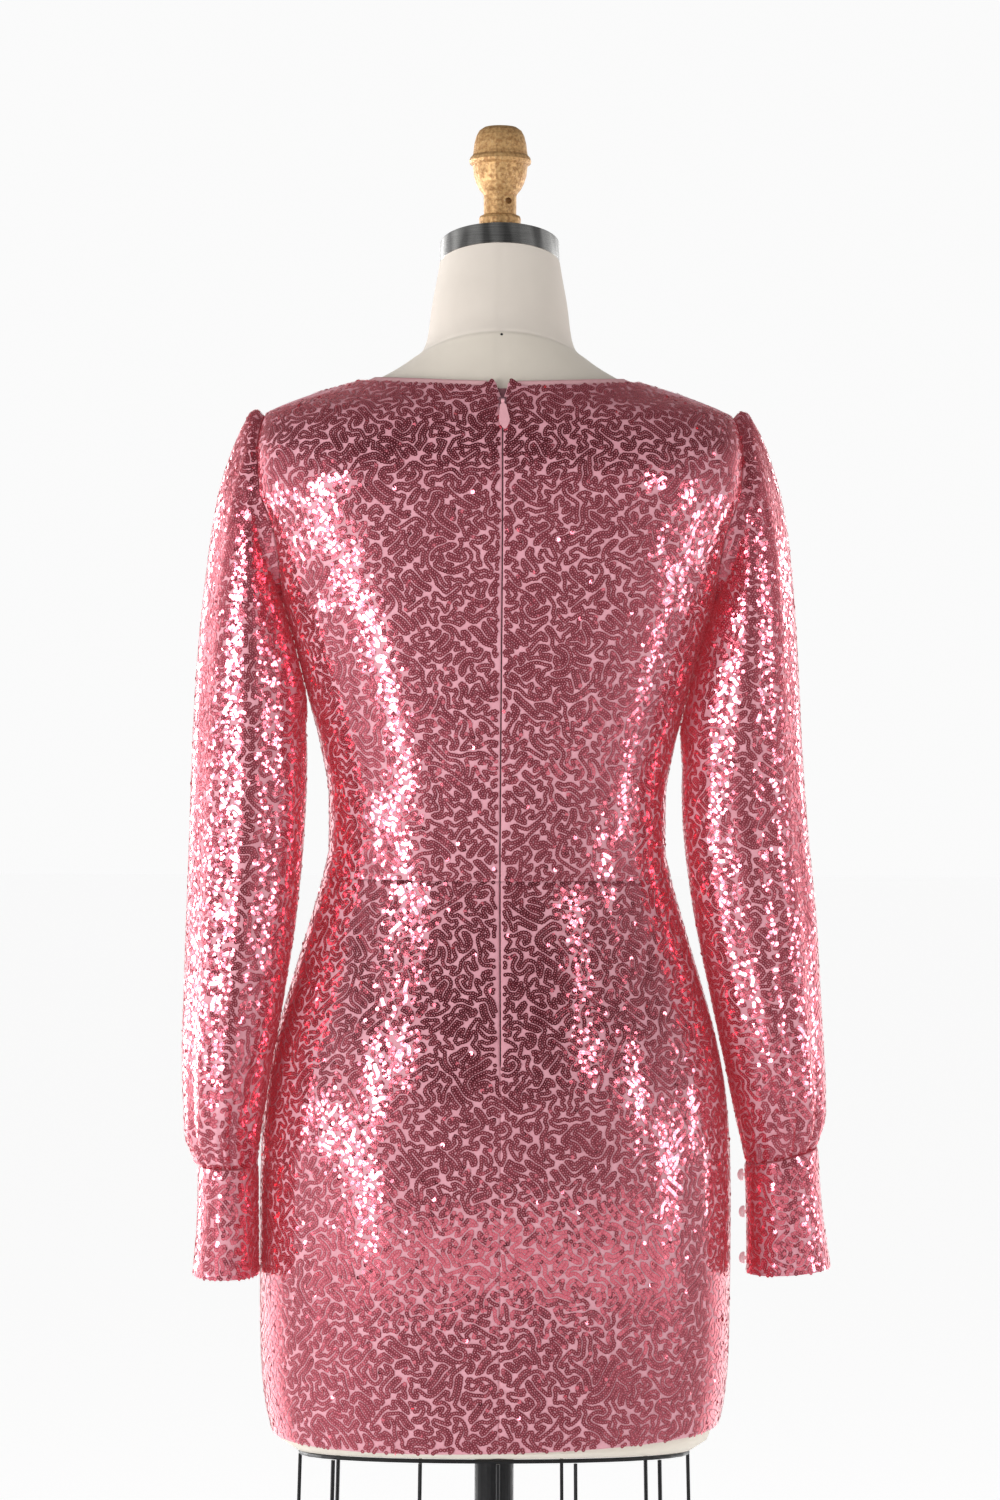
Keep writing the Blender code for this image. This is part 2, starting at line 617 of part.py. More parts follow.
def make_sleeve(name, side, sleeve, cuff, parent):
    last = len(sleeve) - 1
    rings = [armhole_ring(side)] + [ring(row, side, i / last) for i, row in enumerate(sleeve)]
    wall(loft(f"sleeve_{name}", downwards(rings, side), "sequins", parent, wrap=True), CLOTH)
    rings = [ring(row, side) for row in cuff]
    wall(loft(f"cuff_{name}", downwards(rings, side), "sequins", parent, wrap=True), CLOTH)
    make_buttons(name, side, cuff, parent)


def cuff_point(cuff, down, angle):
    """A point of a cuff's outer face, for the wearer's left, and its outward normal."""
    places = np.linspace(0, 1, len(cuff))
    at = {name: smooth(places, column, down) for name, column in columns(RING_COLUMNS, cuff).items()}
    outer = Vector((at["outer_x"], 0, at["outer_z"]))
    inner = Vector((at["inner_x"], 0, at["inner_z"]))
    half = (outer - inner) / 2
    cosine, sine = math.cos(angle), math.sin(angle)
    point = (outer + inner) / 2 + half * cosine + Vector((0, at["middle"] + at["depth"] * sine, 0))
    return point, Vector((cosine / half.x, sine / at["depth"], 0)).normalized()


def make_buttons(name, side, cuff, parent):
    """Domed buttons on short shanks, in a row down the cuff."""
    turn = [math.pi / 2 * i / DOME_STEPS for i in range(DOME_STEPS + 1)]
    edge = SHANK_LENGTH + BUTTON_EDGE
    profile = [(BUTTON_RADIUS * math.sin(a), edge + BUTTON_DOME * math.cos(a)) for a in turn]
    profile += [(BUTTON_UNDER, SHANK_LENGTH), (SHANK_RADIUS, SHANK_LENGTH), (SHANK_RADIUS, 0), (0, 0)]
    for i, down in enumerate(BUTTON_DROPS):
        point, normal = cuff_point(cuff, down, math.radians(BUTTON_ANGLES[name]))
        place = point + normal * GAP
        place.x *= side
        normal.x *= side
        button = turned(f"button_{name}_{i + 1}", profile, "pearl", parent, BUTTON_SIDES)
        button.location = place
        button.rotation_euler = normal.to_track_quat("Z", "Y").to_euler()


# ---- the zip ----
def make_tape(parent):
    heights = [height for height in SKIRT_ROWS if ZIP_END <= height < WAIST - SEAM]
    heights += column_heights(BODICE_ROWS, top=NECK_BACK - GAP)
    rows = []
    for height in heights:
        half = from_centre(height, TAPE_HALF)
        rows.append([off_body(height, share, FACING_OUT) for share in (-half, 0, half)])
    wall(loft("zip_tape", rows, "zip", parent), FACING)


def box(bm, size, centre):
    made = bmesh.ops.create_cube(bm, size=1)
    bmesh.ops.scale(bm, vec=size, verts=made["verts"])
    bmesh.ops.translate(bm, vec=centre, verts=made["verts"])


def bar_along_x(bm, radius, half):
    bmesh.ops.create_cone(
        bm, cap_ends=True, segments=BAR_SIDES, radius1=radius, radius2=radius, depth=2 * half,
        matrix=Matrix.Rotation(math.pi / 2, 4, "Y"),
    )


def built_mesh(name, build):
    """A mesh from a function that fills a bmesh."""
    net = bmesh.new()
    build(net)
    mesh = bpy.data.meshes.new(name)
    net.to_mesh(mesh)
    net.free()
    return mesh


def combine(item, other, operation):
    """A Boolean with a helper, which stays in the cutters' collection."""
    cut = item.modifiers.new(operation.lower(), "BOOLEAN")
    cut.operation = operation
    cut.object = other


def helper(name, build, like=None):
    item = bpy.data.objects.new(name, built_mesh(name, build))
    CUTTERS.objects.link(item)
    item.hide_render = True
    item.display_type = "WIRE"
    if like:
        item.parent = like.parent
        item.location, item.rotation_euler = like.location, like.rotation_euler
    return item


def zip_frame():
    """The pull's pivot on the bar, and the angle by which the slider leans with the cloth."""
    on_cloth = off_body(ZIP_PIVOT_HEIGHT, 0, DRESS_OUT)
    normal = (on_cloth - on_body(ZIP_PIVOT_HEIGHT, 0)).normalized()
    lift = GAP + SLIDER.y + BAR_ABOVE_SLIDER
    return on_cloth + normal * lift, math.atan2(normal.z, normal.y)


def make_slider(parent):
    """A body on the cloth, with two lugs that hold the bar. Its own Y points away from the cloth."""
    pivot, lean = zip_frame()
    middle = (0, -BAR_ABOVE_SLIDER - SLIDER.y / 2, 0)
    slider = add("zip_slider", built_mesh("zip_slider", lambda bm: box(bm, SLIDER, middle)), "zip", parent)
    slider.location = pivot
    slider.rotation_euler.x = lean
    edges = slider.modifiers.new("edges", "BEVEL")
    edges.width = SLIDER_EDGE
    edges.segments = 2
    lug_height = LUG_ROOT + BAR_ABOVE_SLIDER + BAR_RADIUS * 2
    lug_at = BAR_HALF - LUG_THICKNESS / 2
    for side in (-1, 1):
        centre = (side * lug_at, BAR_RADIUS * 2 - lug_height / 2, 0)
        size = (LUG_THICKNESS, lug_height, LUG_LENGTH)
        lug = helper(f"zip_lug_{side}", lambda bm, s=size, c=centre: box(bm, s, c), slider)
        combine(slider, lug, "UNION")
    bar = helper("zip_bar", lambda bm: bar_along_x(bm, BAR_RADIUS, lug_at), slider)
    combine(slider, bar, "UNION")


def tip_clearance(pivot, lean, droop):
    """How far the tip of the tab is from the cloth, with the tab turned towards it by an angle."""
    along = Vector((0, -math.sin(droop), -math.cos(droop)))
    tip = pivot + Matrix.Rotation(lean, 3, "X") @ (along * TAB_LENGTH)
    near = off_body(tip.z, 0, DRESS_OUT)
    normal = (near - on_body(tip.z, 0)).normalized()
    return (tip - near).dot(normal) - TAB_THICKNESS / 2


def tab_droop(pivot, lean):
    """The angle of the tab to the slider that leaves its tip just clear of the cloth."""
    droop = 0.0
    while tip_clearance(pivot, lean, droop) >= TAB_CLEARANCE:
        droop += DROOP_STEP
    return droop


def make_pull(parent):
    """The tab, with its eye round the slider's bar and its origin on the bar's axis."""
    pivot, lean = zip_frame()

    def blade(bm):
        half = TAB_THICKNESS / 2
        outline = [(-width, -drop) for width, drop in TAB_OUTLINE]
        outline += [(width, -drop) for width, drop in TAB_OUTLINE[::-1]]
        face = bm.faces.new([bm.verts.new((x, -half, z)) for x, z in outline])
        made = bmesh.ops.extrude_face_region(bm, geom=[face])
        moved = [v for v in made["geom"] if isinstance(v, bmesh.types.BMVert)]
        bmesh.ops.translate(bm, vec=(0, TAB_THICKNESS, 0), verts=moved)
        bmesh.ops.transform(bm, matrix=Matrix.Rotation(TAB_LEAN, 4, "Y"), verts=bm.verts)
        bmesh.ops.recalc_face_normals(bm, faces=bm.faces)

    pull = add("zip_pull", built_mesh("zip_pull", blade), "zip", parent)
    pull.location = pivot
    pull.rotation_euler.x = lean - tab_droop(pivot, lean)
    eye = helper("pull_eye", lambda bm: bar_along_x(bm, EYE_RADIUS, EYE_HALF), pull)
    hole = helper("pull_hole", lambda bm: bar_along_x(bm, EYE_HOLE, EYE_HALF * 2), pull)
    combine(pull, eye, "UNION")
    combine(pull, hole, "DIFFERENCE")


# ---- the form ----
def make_torso(parent):
    rows = [
        [on_body(height, FULL_TURN * i / TORSO_POINTS) for i in range(TORSO_POINTS)]
        for height in TORSO_HEIGHTS
    ]
    loft("form_torso", rows, "canvas", parent, wrap=True, capped=True)


def make_cap(parent):
    """A round steel plate that leans with the neck."""
    profile = [
        (0.0, CAP_HEIGHT), (CAP_RADIUS - CAP_EDGE, CAP_HEIGHT), (CAP_RADIUS, CAP_HEIGHT - CAP_EDGE),
        (CAP_RADIUS, CAP_EDGE), (CAP_RADIUS - CAP_EDGE, 0.0), (0.0, 0.0),
    ]
    cap = turned("form_neck_cap", profile, "steel", parent, CAP_SIDES)
    cap.rotation_euler.x = NECK_LEAN
    cap.location = (0, 0, NECK_TOP + GAP / math.cos(NECK_LEAN))


def make_finial(parent):
    """A turned knob whose collar is cut to the slope of the cap."""
    slope = math.tan(NECK_LEAN)
    foot = NECK_TOP + (2 * GAP + CAP_HEIGHT) / math.cos(NECK_LEAN)
    rows = []
    for radius, height in FINIAL_PROFILE[::-1]:
        turn = [2 * math.pi * i / FINIAL_POINTS for i in range(FINIAL_POINTS)]
        rows.append([(radius * math.sin(a), radius * math.cos(a), height) for a in turn])
    rows.insert(0, [(x, y, foot + slope * y) for x, y, _ in rows[0]])
    finial = loft("form_finial", rows, "bronze", parent, wrap=True, capped=True)

    def drill(bm):
        bmesh.ops.create_cone(
            bm, cap_ends=True, segments=FINIAL_HOLE_SIDES, depth=FINIAL_HOLE_DEPTH,
            radius1=FINIAL_HOLE_RADIUS, radius2=FINIAL_HOLE_RADIUS,
            matrix=Matrix.Translation(FINIAL_HOLE) @ Matrix.Rotation(math.pi / 2, 4, "X"),
        )

    combine(finial, helper("finial_drill", drill), "DIFFERENCE")


def cage_point(share, down, lift=0.0):
    """A point of the cage, from the ring below the form's sloping foot at 0 to the level foot ring at 1."""
    foot = on_body(BODY[0][0], share)
    spread = CAGE_SHARE + CAGE_FLARE * down
    top = CAGE_TOP + BODY[0][-1] * foot.y * spread
    return Vector((foot.x * spread, foot.y * spread, top + (CAGE_FOOT - top) * down + lift))


def make_cage(parent):
    shares = [FULL_TURN * i / RING_STEPS for i in range(RING_STEPS)]
    for name, down in (("cage_top_ring", 0), ("cage_foot_ring", 1)):
        rod(name, [cage_point(share, down) for share in shares], ROD_RADIUS, "black_metal", parent, True)
    clear = ROD_RADIUS + WIRE_RADIUS * BODY[0][-1] + GAP
    half = [0.0, *WIRE_SHARES, 1.0, *(HALF_TURN - share for share in WIRE_SHARES[::-1])]
    for i, share in enumerate(half + [HALF_TURN + share for share in half]):
        ends = [cage_point(share, 0, -clear), cage_point(share, 1, clear)]
        rod(f"cage_wire_{i + 1:02d}", ends, WIRE_RADIUS, "black_metal", parent)


def make_stand(parent):
    foot = BASE_HEIGHT + GAP

    def pillar(bm):
        bmesh.ops.create_cone(
            bm, cap_ends=True, segments=POLE_SIDES, depth=POLE_TOP - foot,
            radius1=POLE_RADIUS, radius2=POLE_RADIUS,
        )

    pole = add("stand_pole", built_mesh("stand_pole", pillar), "black_metal", parent)
    pole.location.z = (POLE_TOP + foot) / 2
    shade(pole.data)
    turn = [math.pi / 2 * (1 - i / RIM_STEPS) for i in range(RIM_STEPS + 1)]
    profile = [(0.0, BASE_HEIGHT), (BASE_BOSS, BASE_HEIGHT), BOSS_FOOT]
    profile += [(BASE_RADIUS - BASE_RIM * (1 - math.cos(a)), BASE_RIM * math.sin(a)) for a in turn]
    profile += [(BASE_RADIUS, 0.0), (0.0, 0.0)]
    turned("stand_base", profile, "black_metal", parent, BASE_SIDES)


# ---- the whole part ----
clear_scene()
PART = new_collection("Cocktail dress on a dress form")
CUTTERS = new_collection("Cutters")
form = empty("form")
dress = empty("dress", form)
make_torso(form)
make_cap(form)
make_finial(form)
make_cage(form)
make_stand(form)
make_panels(dress)
make_facings(dress)
make_sleeve("left", 1, LEFT_SLEEVE, LEFT_CUFF, dress)
make_sleeve("right", -1, RIGHT_SLEEVE, RIGHT_CUFF, dress)
make_tape(dress)
make_slider(dress)
make_pull(dress)
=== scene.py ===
import functools
import math

import bpy
import numpy as np
from mathutils import Matrix, Vector


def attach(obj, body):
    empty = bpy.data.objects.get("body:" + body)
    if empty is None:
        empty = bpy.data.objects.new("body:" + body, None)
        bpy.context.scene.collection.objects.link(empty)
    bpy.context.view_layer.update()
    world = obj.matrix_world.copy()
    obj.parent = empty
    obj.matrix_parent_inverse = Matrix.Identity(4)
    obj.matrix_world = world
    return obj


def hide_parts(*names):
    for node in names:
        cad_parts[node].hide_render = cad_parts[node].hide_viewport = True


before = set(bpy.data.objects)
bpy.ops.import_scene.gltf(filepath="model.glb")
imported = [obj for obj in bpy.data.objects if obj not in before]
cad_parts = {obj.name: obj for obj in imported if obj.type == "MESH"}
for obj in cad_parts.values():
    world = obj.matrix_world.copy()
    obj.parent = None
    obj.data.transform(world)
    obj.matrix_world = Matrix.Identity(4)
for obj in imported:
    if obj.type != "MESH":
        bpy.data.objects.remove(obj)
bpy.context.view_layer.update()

BODY = "form_and_dress"

# ---- sizes that the CAD gives the dress ----
CLOTH = 0.0009
EASE_AND_WALL = 0.0042  # from the body's surface to the outer face of the cloth
FACING, FACING_OUT = 0.0008, 0.0023
SEAM, SHOULDER_SEAM = 0.0002, 0.0005
CLOSED = 0.00005  # half of a seam that shows no gap

HEM, HEM_SLOPE = 0.6370, 0.0035
WAIST = 1.0440
UNDERARM, SHOULDER_TIP = 1.2500, 1.3885
NECK_BACK, NECK_SIDE, NECK_FRONT = 1.4025, 1.4125, 1.3700
NECK_BACK_CURVE, NECK_FRONT_CURVE = 1.6, 0.62

ZIP_END, ZIP_OPENING = 0.9120, 0.0005
NOTCH_HALF, NOTCH_FOOT = 0.0040, 1.3925
TAPE_HALF = 0.0095
FACING_FROM_ZIP, FACING_FOOT, FACING_ABOVE = 0.0110, 1.4010, 0.0042

ARMHOLE_HALF, ARMHOLE_HEIGHT = 0.0500, SHOULDER_TIP - UNDERARM
ARMHOLE_MIDDLE = UNDERARM + ARMHOLE_HEIGHT / 2
SLEEVE_INSET = 0.984

# One row for each section of the form. flat and round are the powers of its curve at the back and the sides.
TORSO_COLUMNS = ("height", "half_width", "back", "front", "flat", "round", "tilt")
TORSO = (
    (0.6165, 0.1475, 0.108, 0.1, 2.2, 2.2, 0.12),
    (0.619, 0.153, 0.1125, 0.1045, 2.2, 2.2, 0.12),
    (0.623, 0.158, 0.1165, 0.108, 2.2, 2.2, 0.09),
    (0.6295, 0.161, 0.1188, 0.11, 2.2, 2.2, 0.04),
    (0.6355, 0.1626, 0.12, 0.111, 2.2, 2.2, 0),
    (0.655, 0.1671, 0.1225, 0.1132, 2.2, 2.2, 0),
    (0.69, 0.1704, 0.1248, 0.1148, 2.2, 2.2, 0),
    (0.78, 0.1716, 0.1285, 0.1165, 2.2, 2.2, 0),
    (0.835, 0.1711, 0.1282, 0.1178, 2.2, 2.2, 0),
    (0.88, 0.168, 0.1235, 0.1178, 2.2, 2.2, 0),
    (0.92, 0.1612, 0.1145, 0.116, 2.15, 2.15, 0),
    (0.965, 0.149, 0.1015, 0.111, 2.1, 2.1, 0),
    (1.01, 0.1356, 0.0895, 0.103, 2.05, 2.1, 0),
    (1.0425, 0.1266, 0.0828, 0.0982, 2.05, 2.1, 0),
    (1.068, 0.1216, 0.0808, 0.0966, 2.1, 2.1, 0),
    (1.104, 0.1217, 0.0822, 0.0975, 2.15, 2.15, 0),
    (1.14, 0.1273, 0.0868, 0.103, 2.25, 2.2, 0),
    (1.18, 0.1374, 0.0928, 0.1125, 2.35, 2.3, 0),
    (1.22, 0.1478, 0.0985, 0.124, 2.45, 2.4, 0),
    (1.255, 0.1581, 0.103, 0.1278, 2.5, 2.6, 0),
    (1.3, 0.1692, 0.1058, 0.1215, 2.55, 3, 0),
    (1.336, 0.179, 0.104, 0.1105, 2.6, 3.5, 0),
    (1.358, 0.1787, 0.1004, 0.101, 2.6, 3.4, 0),
    (1.375, 0.1765, 0.0955, 0.0925, 2.55, 2.8, 0),
    (1.3885, 0.1715, 0.0898, 0.0845, 2.35, 1.9, 0),
    (1.3945, 0.1575, 0.0865, 0.0808, 2.15, 1.5, 0),
    (1.401, 0.1415, 0.0827, 0.0768, 2.05, 1.38, 0),
    (1.4065, 0.1235, 0.079, 0.0735, 2, 1.36, 0.01),
    (1.4125, 0.102, 0.0748, 0.0698, 2, 1.42, 0.03),
    (1.419, 0.087, 0.0705, 0.0655, 2, 1.55, 0.06),
    (1.428, 0.0705, 0.065, 0.06, 2, 1.75, 0.11),
    (1.4375, 0.058, 0.0598, 0.0555, 2, 1.95, 0.16),
    (1.448, 0.0541, 0.0556, 0.0516, 2, 2, 0.2),
    (1.472, 0.0508, 0.0508, 0.0492, 2, 2, 0.24),
    (1.49, 0.0475, 0.0474, 0.047, 2, 2, 0.24),
    (1.5035, 0.0452, 0.045, 0.045, 2, 2, 0.24),
)
QUARTER_POINTS = 48
FOOT_HEIGHT, NECK_TOP = TORSO[0][0], TORSO[-1][0]
NECK_TILT = TORSO[-1][-1]

# One row for each ring of a sleeve or cuff, from its top down: its outer and inner point, the middle of its
# depth, half of its depth, and how far it bows out, where it does.
RING_COLUMNS = ("outer_x", "outer_z", "inner_x", "inner_z", "middle", "depth", "bow")
SLEEVES = {
    "left": (
        (0.183, 1.395, 0.1627, 1.247, 0, 0.0505, 0.008),
        (0.1905, 1.384, 0.1622, 1.243, 0, 0.0515, 0.0065),
        (0.1985, 1.366, 0.1608, 1.238, 0, 0.052, 0.0045),
        (0.207, 1.34, 0.1586, 1.231, 0.001, 0.0525, 0.002),
        (0.213, 1.31, 0.156, 1.223, 0.002, 0.0525),
        (0.2175, 1.276, 0.1528, 1.212, 0.003, 0.0525),
        (0.2215, 1.24, 0.1492, 1.198, 0.004, 0.053),
        (0.225, 1.195, 0.1455, 1.175, 0.006, 0.053),
        (0.2275, 1.14, 0.1425, 1.135, 0.009, 0.053),
        (0.229, 1.08, 0.144, 1.08, 0.014, 0.0535),
        (0.2305, 1.02, 0.149, 1.02, 0.021, 0.054),
        (0.2318, 0.96, 0.1575, 0.96, 0.029, 0.054),
        (0.2325, 0.91, 0.166, 0.91, 0.034, 0.0525),
        (0.2315, 0.878, 0.171, 0.878, 0.035, 0.05),
        (0.23, 0.852, 0.1745, 0.852, 0.034, 0.046),
        (0.222, 0.834, 0.1765, 0.834, 0.032, 0.0395),
    ),
    "right": (
        (0.183, 1.396, 0.1627, 1.247, 0, 0.0505, 0.008),
        (0.1915, 1.385, 0.1622, 1.243, 0, 0.0515, 0.0065),
        (0.2005, 1.366, 0.1608, 1.238, 0, 0.052, 0.0045),
        (0.209, 1.34, 0.1586, 1.231, 0, 0.0525, 0.002),
        (0.2155, 1.31, 0.156, 1.223, 0.001, 0.0525),
        (0.2195, 1.276, 0.1528, 1.212, 0.001, 0.0525),
        (0.2225, 1.24, 0.149, 1.198, 0.002, 0.0525),
        (0.2252, 1.195, 0.1442, 1.172, 0.003, 0.0525),
        (0.228, 1.14, 0.139, 1.132, 0.004, 0.0525),
        (0.2325, 1.08, 0.1395, 1.08, 0.005, 0.0525),
        (0.2385, 1.02, 0.1475, 1.018, 0.007, 0.0525),
        (0.242, 0.96, 0.16, 0.956, 0.009, 0.052),
        (0.245, 0.912, 0.171, 0.904, 0.01, 0.05),
        (0.2467, 0.884, 0.177, 0.874, 0.01, 0.0475),
        (0.2465, 0.862, 0.182, 0.85, 0.01, 0.0435),
        (0.241, 0.846, 0.186, 0.834, 0.01, 0.0365),
    ),
}
CUFFS = {
    "left": (
        (0.2205, 0.8325, 0.1765, 0.832, 0.032, 0.0385),
        (0.2212, 0.79, 0.1762, 0.79, 0.032, 0.0388),
        (0.2242, 0.752, 0.1758, 0.752, 0.031, 0.0385),
    ),
    "right": (
        (0.2405, 0.844, 0.1865, 0.832, 0.01, 0.0355),
        (0.2438, 0.799, 0.1882, 0.79, 0.01, 0.0354),
        (0.2505, 0.755, 0.1884, 0.75, 0.01, 0.035),
    ),
}
# The sleeves' largest folds. Each row: its angle round the ring in degrees, which is 0 at the outer point and 90
# at the back, its half width in degrees, and how far it stands out at the sleeve's head, middle and foot.
SLEEVE_FOLDS = (
    (38, 15, -0.0015, -0.0025, -0.004),
    (75, 15, -0.001, -0.0035, -0.0045),
    (112, 17, -0.0015, -0.003, -0.004),
    (205, 20, 0, -0.0015, -0.003),
    (248, 16, -0.001, -0.003, -0.0045),
    (290, 16, -0.0015, -0.0035, -0.004),
    (328, 15, -0.0015, -0.002, -0.004),
)

# ---- sizes that only the looks need ----
CELL = 0.0048  # side of the cloth's squares
EDGE_STEPS = (0.0012, 0.0028)  # closer rows of squares along an edge
SEQUIN_RADIUS, SEQUIN_SIDES = 0.00157, 7
SEQUIN_LIFT = 0.00045  # over the cloth's surface
SEQUIN_PITCH = 0.00240  # from one sequin's middle to the next one's along a line
ROW_GAP = 0.0031  # between the middles of two lines of sequins, on average
PAIRING = 0.45  # half of the gap inside a pair of lines, as a share of the row gap
HORN_RISE, HORN_PLACE, HORN_WIDTH = 0.0048, 0.0038, 0.0036  # how the neckline's corners stand up beside the zip
PANEL_SPAN = 0.9  # the share of a quarter that is taken as a back panel's width
SPAN_FROM, SPAN_TO = 0.80, 1.30  # the lowest and highest place at which it's measured
SEWN_DEPTH, SEWN_WIDTH = 0.0006, 0.0014  # how far cloth turns in where it is sewn, and from how far away
SLEEVE_SIDES, CUFF_SIDES = 88, 60
SEED = 11


# ---- number helpers ----
def columns(names, rows):
    return dict(zip(names, np.array(rows).T))


def curve(places, steps, values, slopes, at):
    """Points at some places of a smooth curve through values that lie some steps apart, with known slopes."""
    i = np.clip(np.searchsorted(places, at, side="right") - 1, 0, len(steps) - 1)
    shape = np.shape(at) + (1,) * (values.ndim - 1)
    step, t = np.reshape(steps[i], shape), np.reshape((at - places[i]) / steps[i], shape)
    ends = values[i] * (1 + 2 * t) * (1 - t) ** 2 + values[i + 1] * t * t * (3 - 2 * t)
    return ends + step * t * (1 - t) * (slopes[i] * (1 - t) - slopes[i + 1] * t)


def smooth(places, values, at):
    """Values at some places on a smooth curve through a table's column, with no overshoot between rows."""
    steps = np.diff(places)
    rises = np.diff(values) / steps
    near, far = 2 * steps[1:] + steps[:-1], steps[1:] + 2 * steps[:-1]
    same = rises[:-1] * rises[1:] > 0
    before, after = np.where(same, rises[:-1], 1), np.where(same, rises[1:], 1)
    inner = np.where(same, (near + far) / (near / before + far / after), 0)
    slopes = np.concatenate([rises[:1], inner, rises[-1:]])
    return curve(places, steps, values, slopes, np.clip(at, places[0], places[-1]))


def sample(grid, rows, cols):
    """A grid's values between its points, at fractional rows and columns."""
    rows = np.clip(rows, 0, grid.shape[0] - 1.000001)
    cols = np.clip(cols, 0, grid.shape[1] - 1.000001)
    r, c = rows.astype(int), cols.astype(int)
    fr, fc = (rows - r)[..., None], (cols - c)[..., None]
    low = grid[r, c] * (1 - fc) + grid[r, c + 1] * fc
    high = grid[r + 1, c] * (1 - fc) + grid[r + 1, c + 1] * fc
    return low * (1 - fr) + high * fr


def unit(vectors):
    return vectors / np.maximum(np.linalg.norm(vectors, axis=-1, keepdims=True), 1e-12)


def cross(a, b):
    return a[..., 0] * b[..., 1] - a[..., 1] * b[..., 0]


def bell(distance, width):
    return np.exp(-((distance / width) ** 2))


# ---- the form's surface ----
TORSO_TABLE = columns(TORSO_COLUMNS, TORSO)
BODY_HEIGHTS = np.linspace(FOOT_HEIGHT, NECK_TOP, 888)
BODY_SHARES = np.linspace(0, 4, 401)


@functools.lru_cache(maxsize=None)
def section(height):
    """One side of the form's section: shares of the way round from 0 to 2, with x and y."""
    at = {name: float(smooth(TORSO_TABLE["height"], TORSO_TABLE[name], height)) for name in TORSO_COLUMNS[1:]}
    turn = np.linspace(0, math.pi / 2, QUARTER_POINTS)
    across = at["half_width"] * np.sin(turn) ** (2 / at["flat"])
    ahead = np.cos(turn) ** (2 / at["round"])
    ahead[-1] = 0
    shares = []
    for reach in (at["back"], at["front"]):
        lengths = np.hypot(np.diff(across), np.diff(reach * ahead))
        shares.append(np.concatenate([[0], np.cumsum(lengths)]) / lengths.sum())
    share = np.concatenate([shares[0], 2 - shares[1][-2::-1]])
    x = np.concatenate([across, across[-2::-1]])
    y = np.concatenate([at["back"] * ahead, -at["front"] * ahead[-2::-1]])
    return share, x, y, at["tilt"]


def body_grids():
    """Points and outward normals all over the form, and the length of the back quarter at each height."""
    near = np.where(BODY_SHARES > 2, 4 - BODY_SHARES, BODY_SHARES)
    sign = np.where(BODY_SHARES > 2, -1, 1)
    points, quarters = [], []
    for height in BODY_HEIGHTS:
        share, x, y, tilt = section(float(height))
        back = np.interp(near, share, y)
        points.append(np.stack([sign * np.interp(near, share, x), back, height + tilt * back], axis=-1))
        quarters.append(np.hypot(np.diff(x[share <= 1]), np.diff(y[share <= 1])).sum())
    points = np.array(points)
    around = np.concatenate([points[:, -2:-1], points, points[:, 1:2]], axis=1)
    normals = unit(np.cross(np.gradient(points, axis=0), (around[:, 2:] - around[:, :-2])))
    return points, normals, np.array(quarters)


BODY_POINTS, BODY_NORMALS, QUARTERS = body_grids()


def quarter(height):
    return np.interp(height, BODY_HEIGHTS, QUARTERS)


def off_body(height, share, out):
    """Points of the form's surface, moved out along its normals."""
    height, share = np.broadcast_arrays(height, share)
    rows = np.interp(height, BODY_HEIGHTS, np.arange(len(BODY_HEIGHTS)))
    cols = (share % 4) / 4 * (len(BODY_SHARES) - 1)
    out = np.broadcast_to(out, height.shape)[..., None]
    return sample(BODY_POINTS, rows, cols) + out * sample(BODY_NORMALS, rows, cols)


def share_at(height, y):
    known, _, back, _ = section(float(height))
    return float(np.interp(-y, -back, known))


# ---- outlines of the panels, as in the CAD ----
def side_edge(height, way):
    """The share at which a back panel, with a way of -1, or the front panel, with 1, ends at its side."""
    seam = 1 + way * (SHOULDER_SEAM if height > ARMHOLE_MIDDLE else SEAM) / float(quarter(height))
    rise = (height - ARMHOLE_MIDDLE) / (ARMHOLE_HEIGHT / 2)
    reach = ARMHOLE_HALF * math.sqrt(max(0.0, 1 - rise * rise))
    return way * max(way * seam, way * share_at(height, -way * reach)) if reach else seam


def centre_edge(height):
    """Half of the opening between the back panels, in metres: the plain seam, the zip's slot or its notch."""
    rise = np.clip((height - NOTCH_FOOT) / (NECK_BACK - NOTCH_FOOT), 0, 1)
    return np.where(height < ZIP_END, CLOSED, ZIP_OPENING + (NOTCH_HALF - ZIP_OPENING) * rise)


def neck_back(across):
    return NECK_BACK + (NECK_SIDE - NECK_BACK) * across**NECK_BACK_CURVE


def neck_front(across):
    return NECK_SIDE + (NECK_FRONT - NECK_SIDE) * np.sin(math.pi / 2 * across) ** (1 / NECK_FRONT_CURVE)


def hemline(share):
    return HEM - HEM_SLOPE * np.sin(math.pi / 2 * share)


def steps_between(low, high):
    """Places from low to high, a cell apart and closer at both ends."""
    inner = np.linspace(low, high, max(4, round((high - low) / CELL)) + 1)[1:-1]
    start = [low, *(low + e for e in EDGE_STEPS if low + e < inner[0] - CELL / 4)]
    end = [*(high - e for e in EDGE_STEPS[::-1] if high - e > inner[-1] + CELL / 4), high]
    return np.concatenate([start, inner, end])


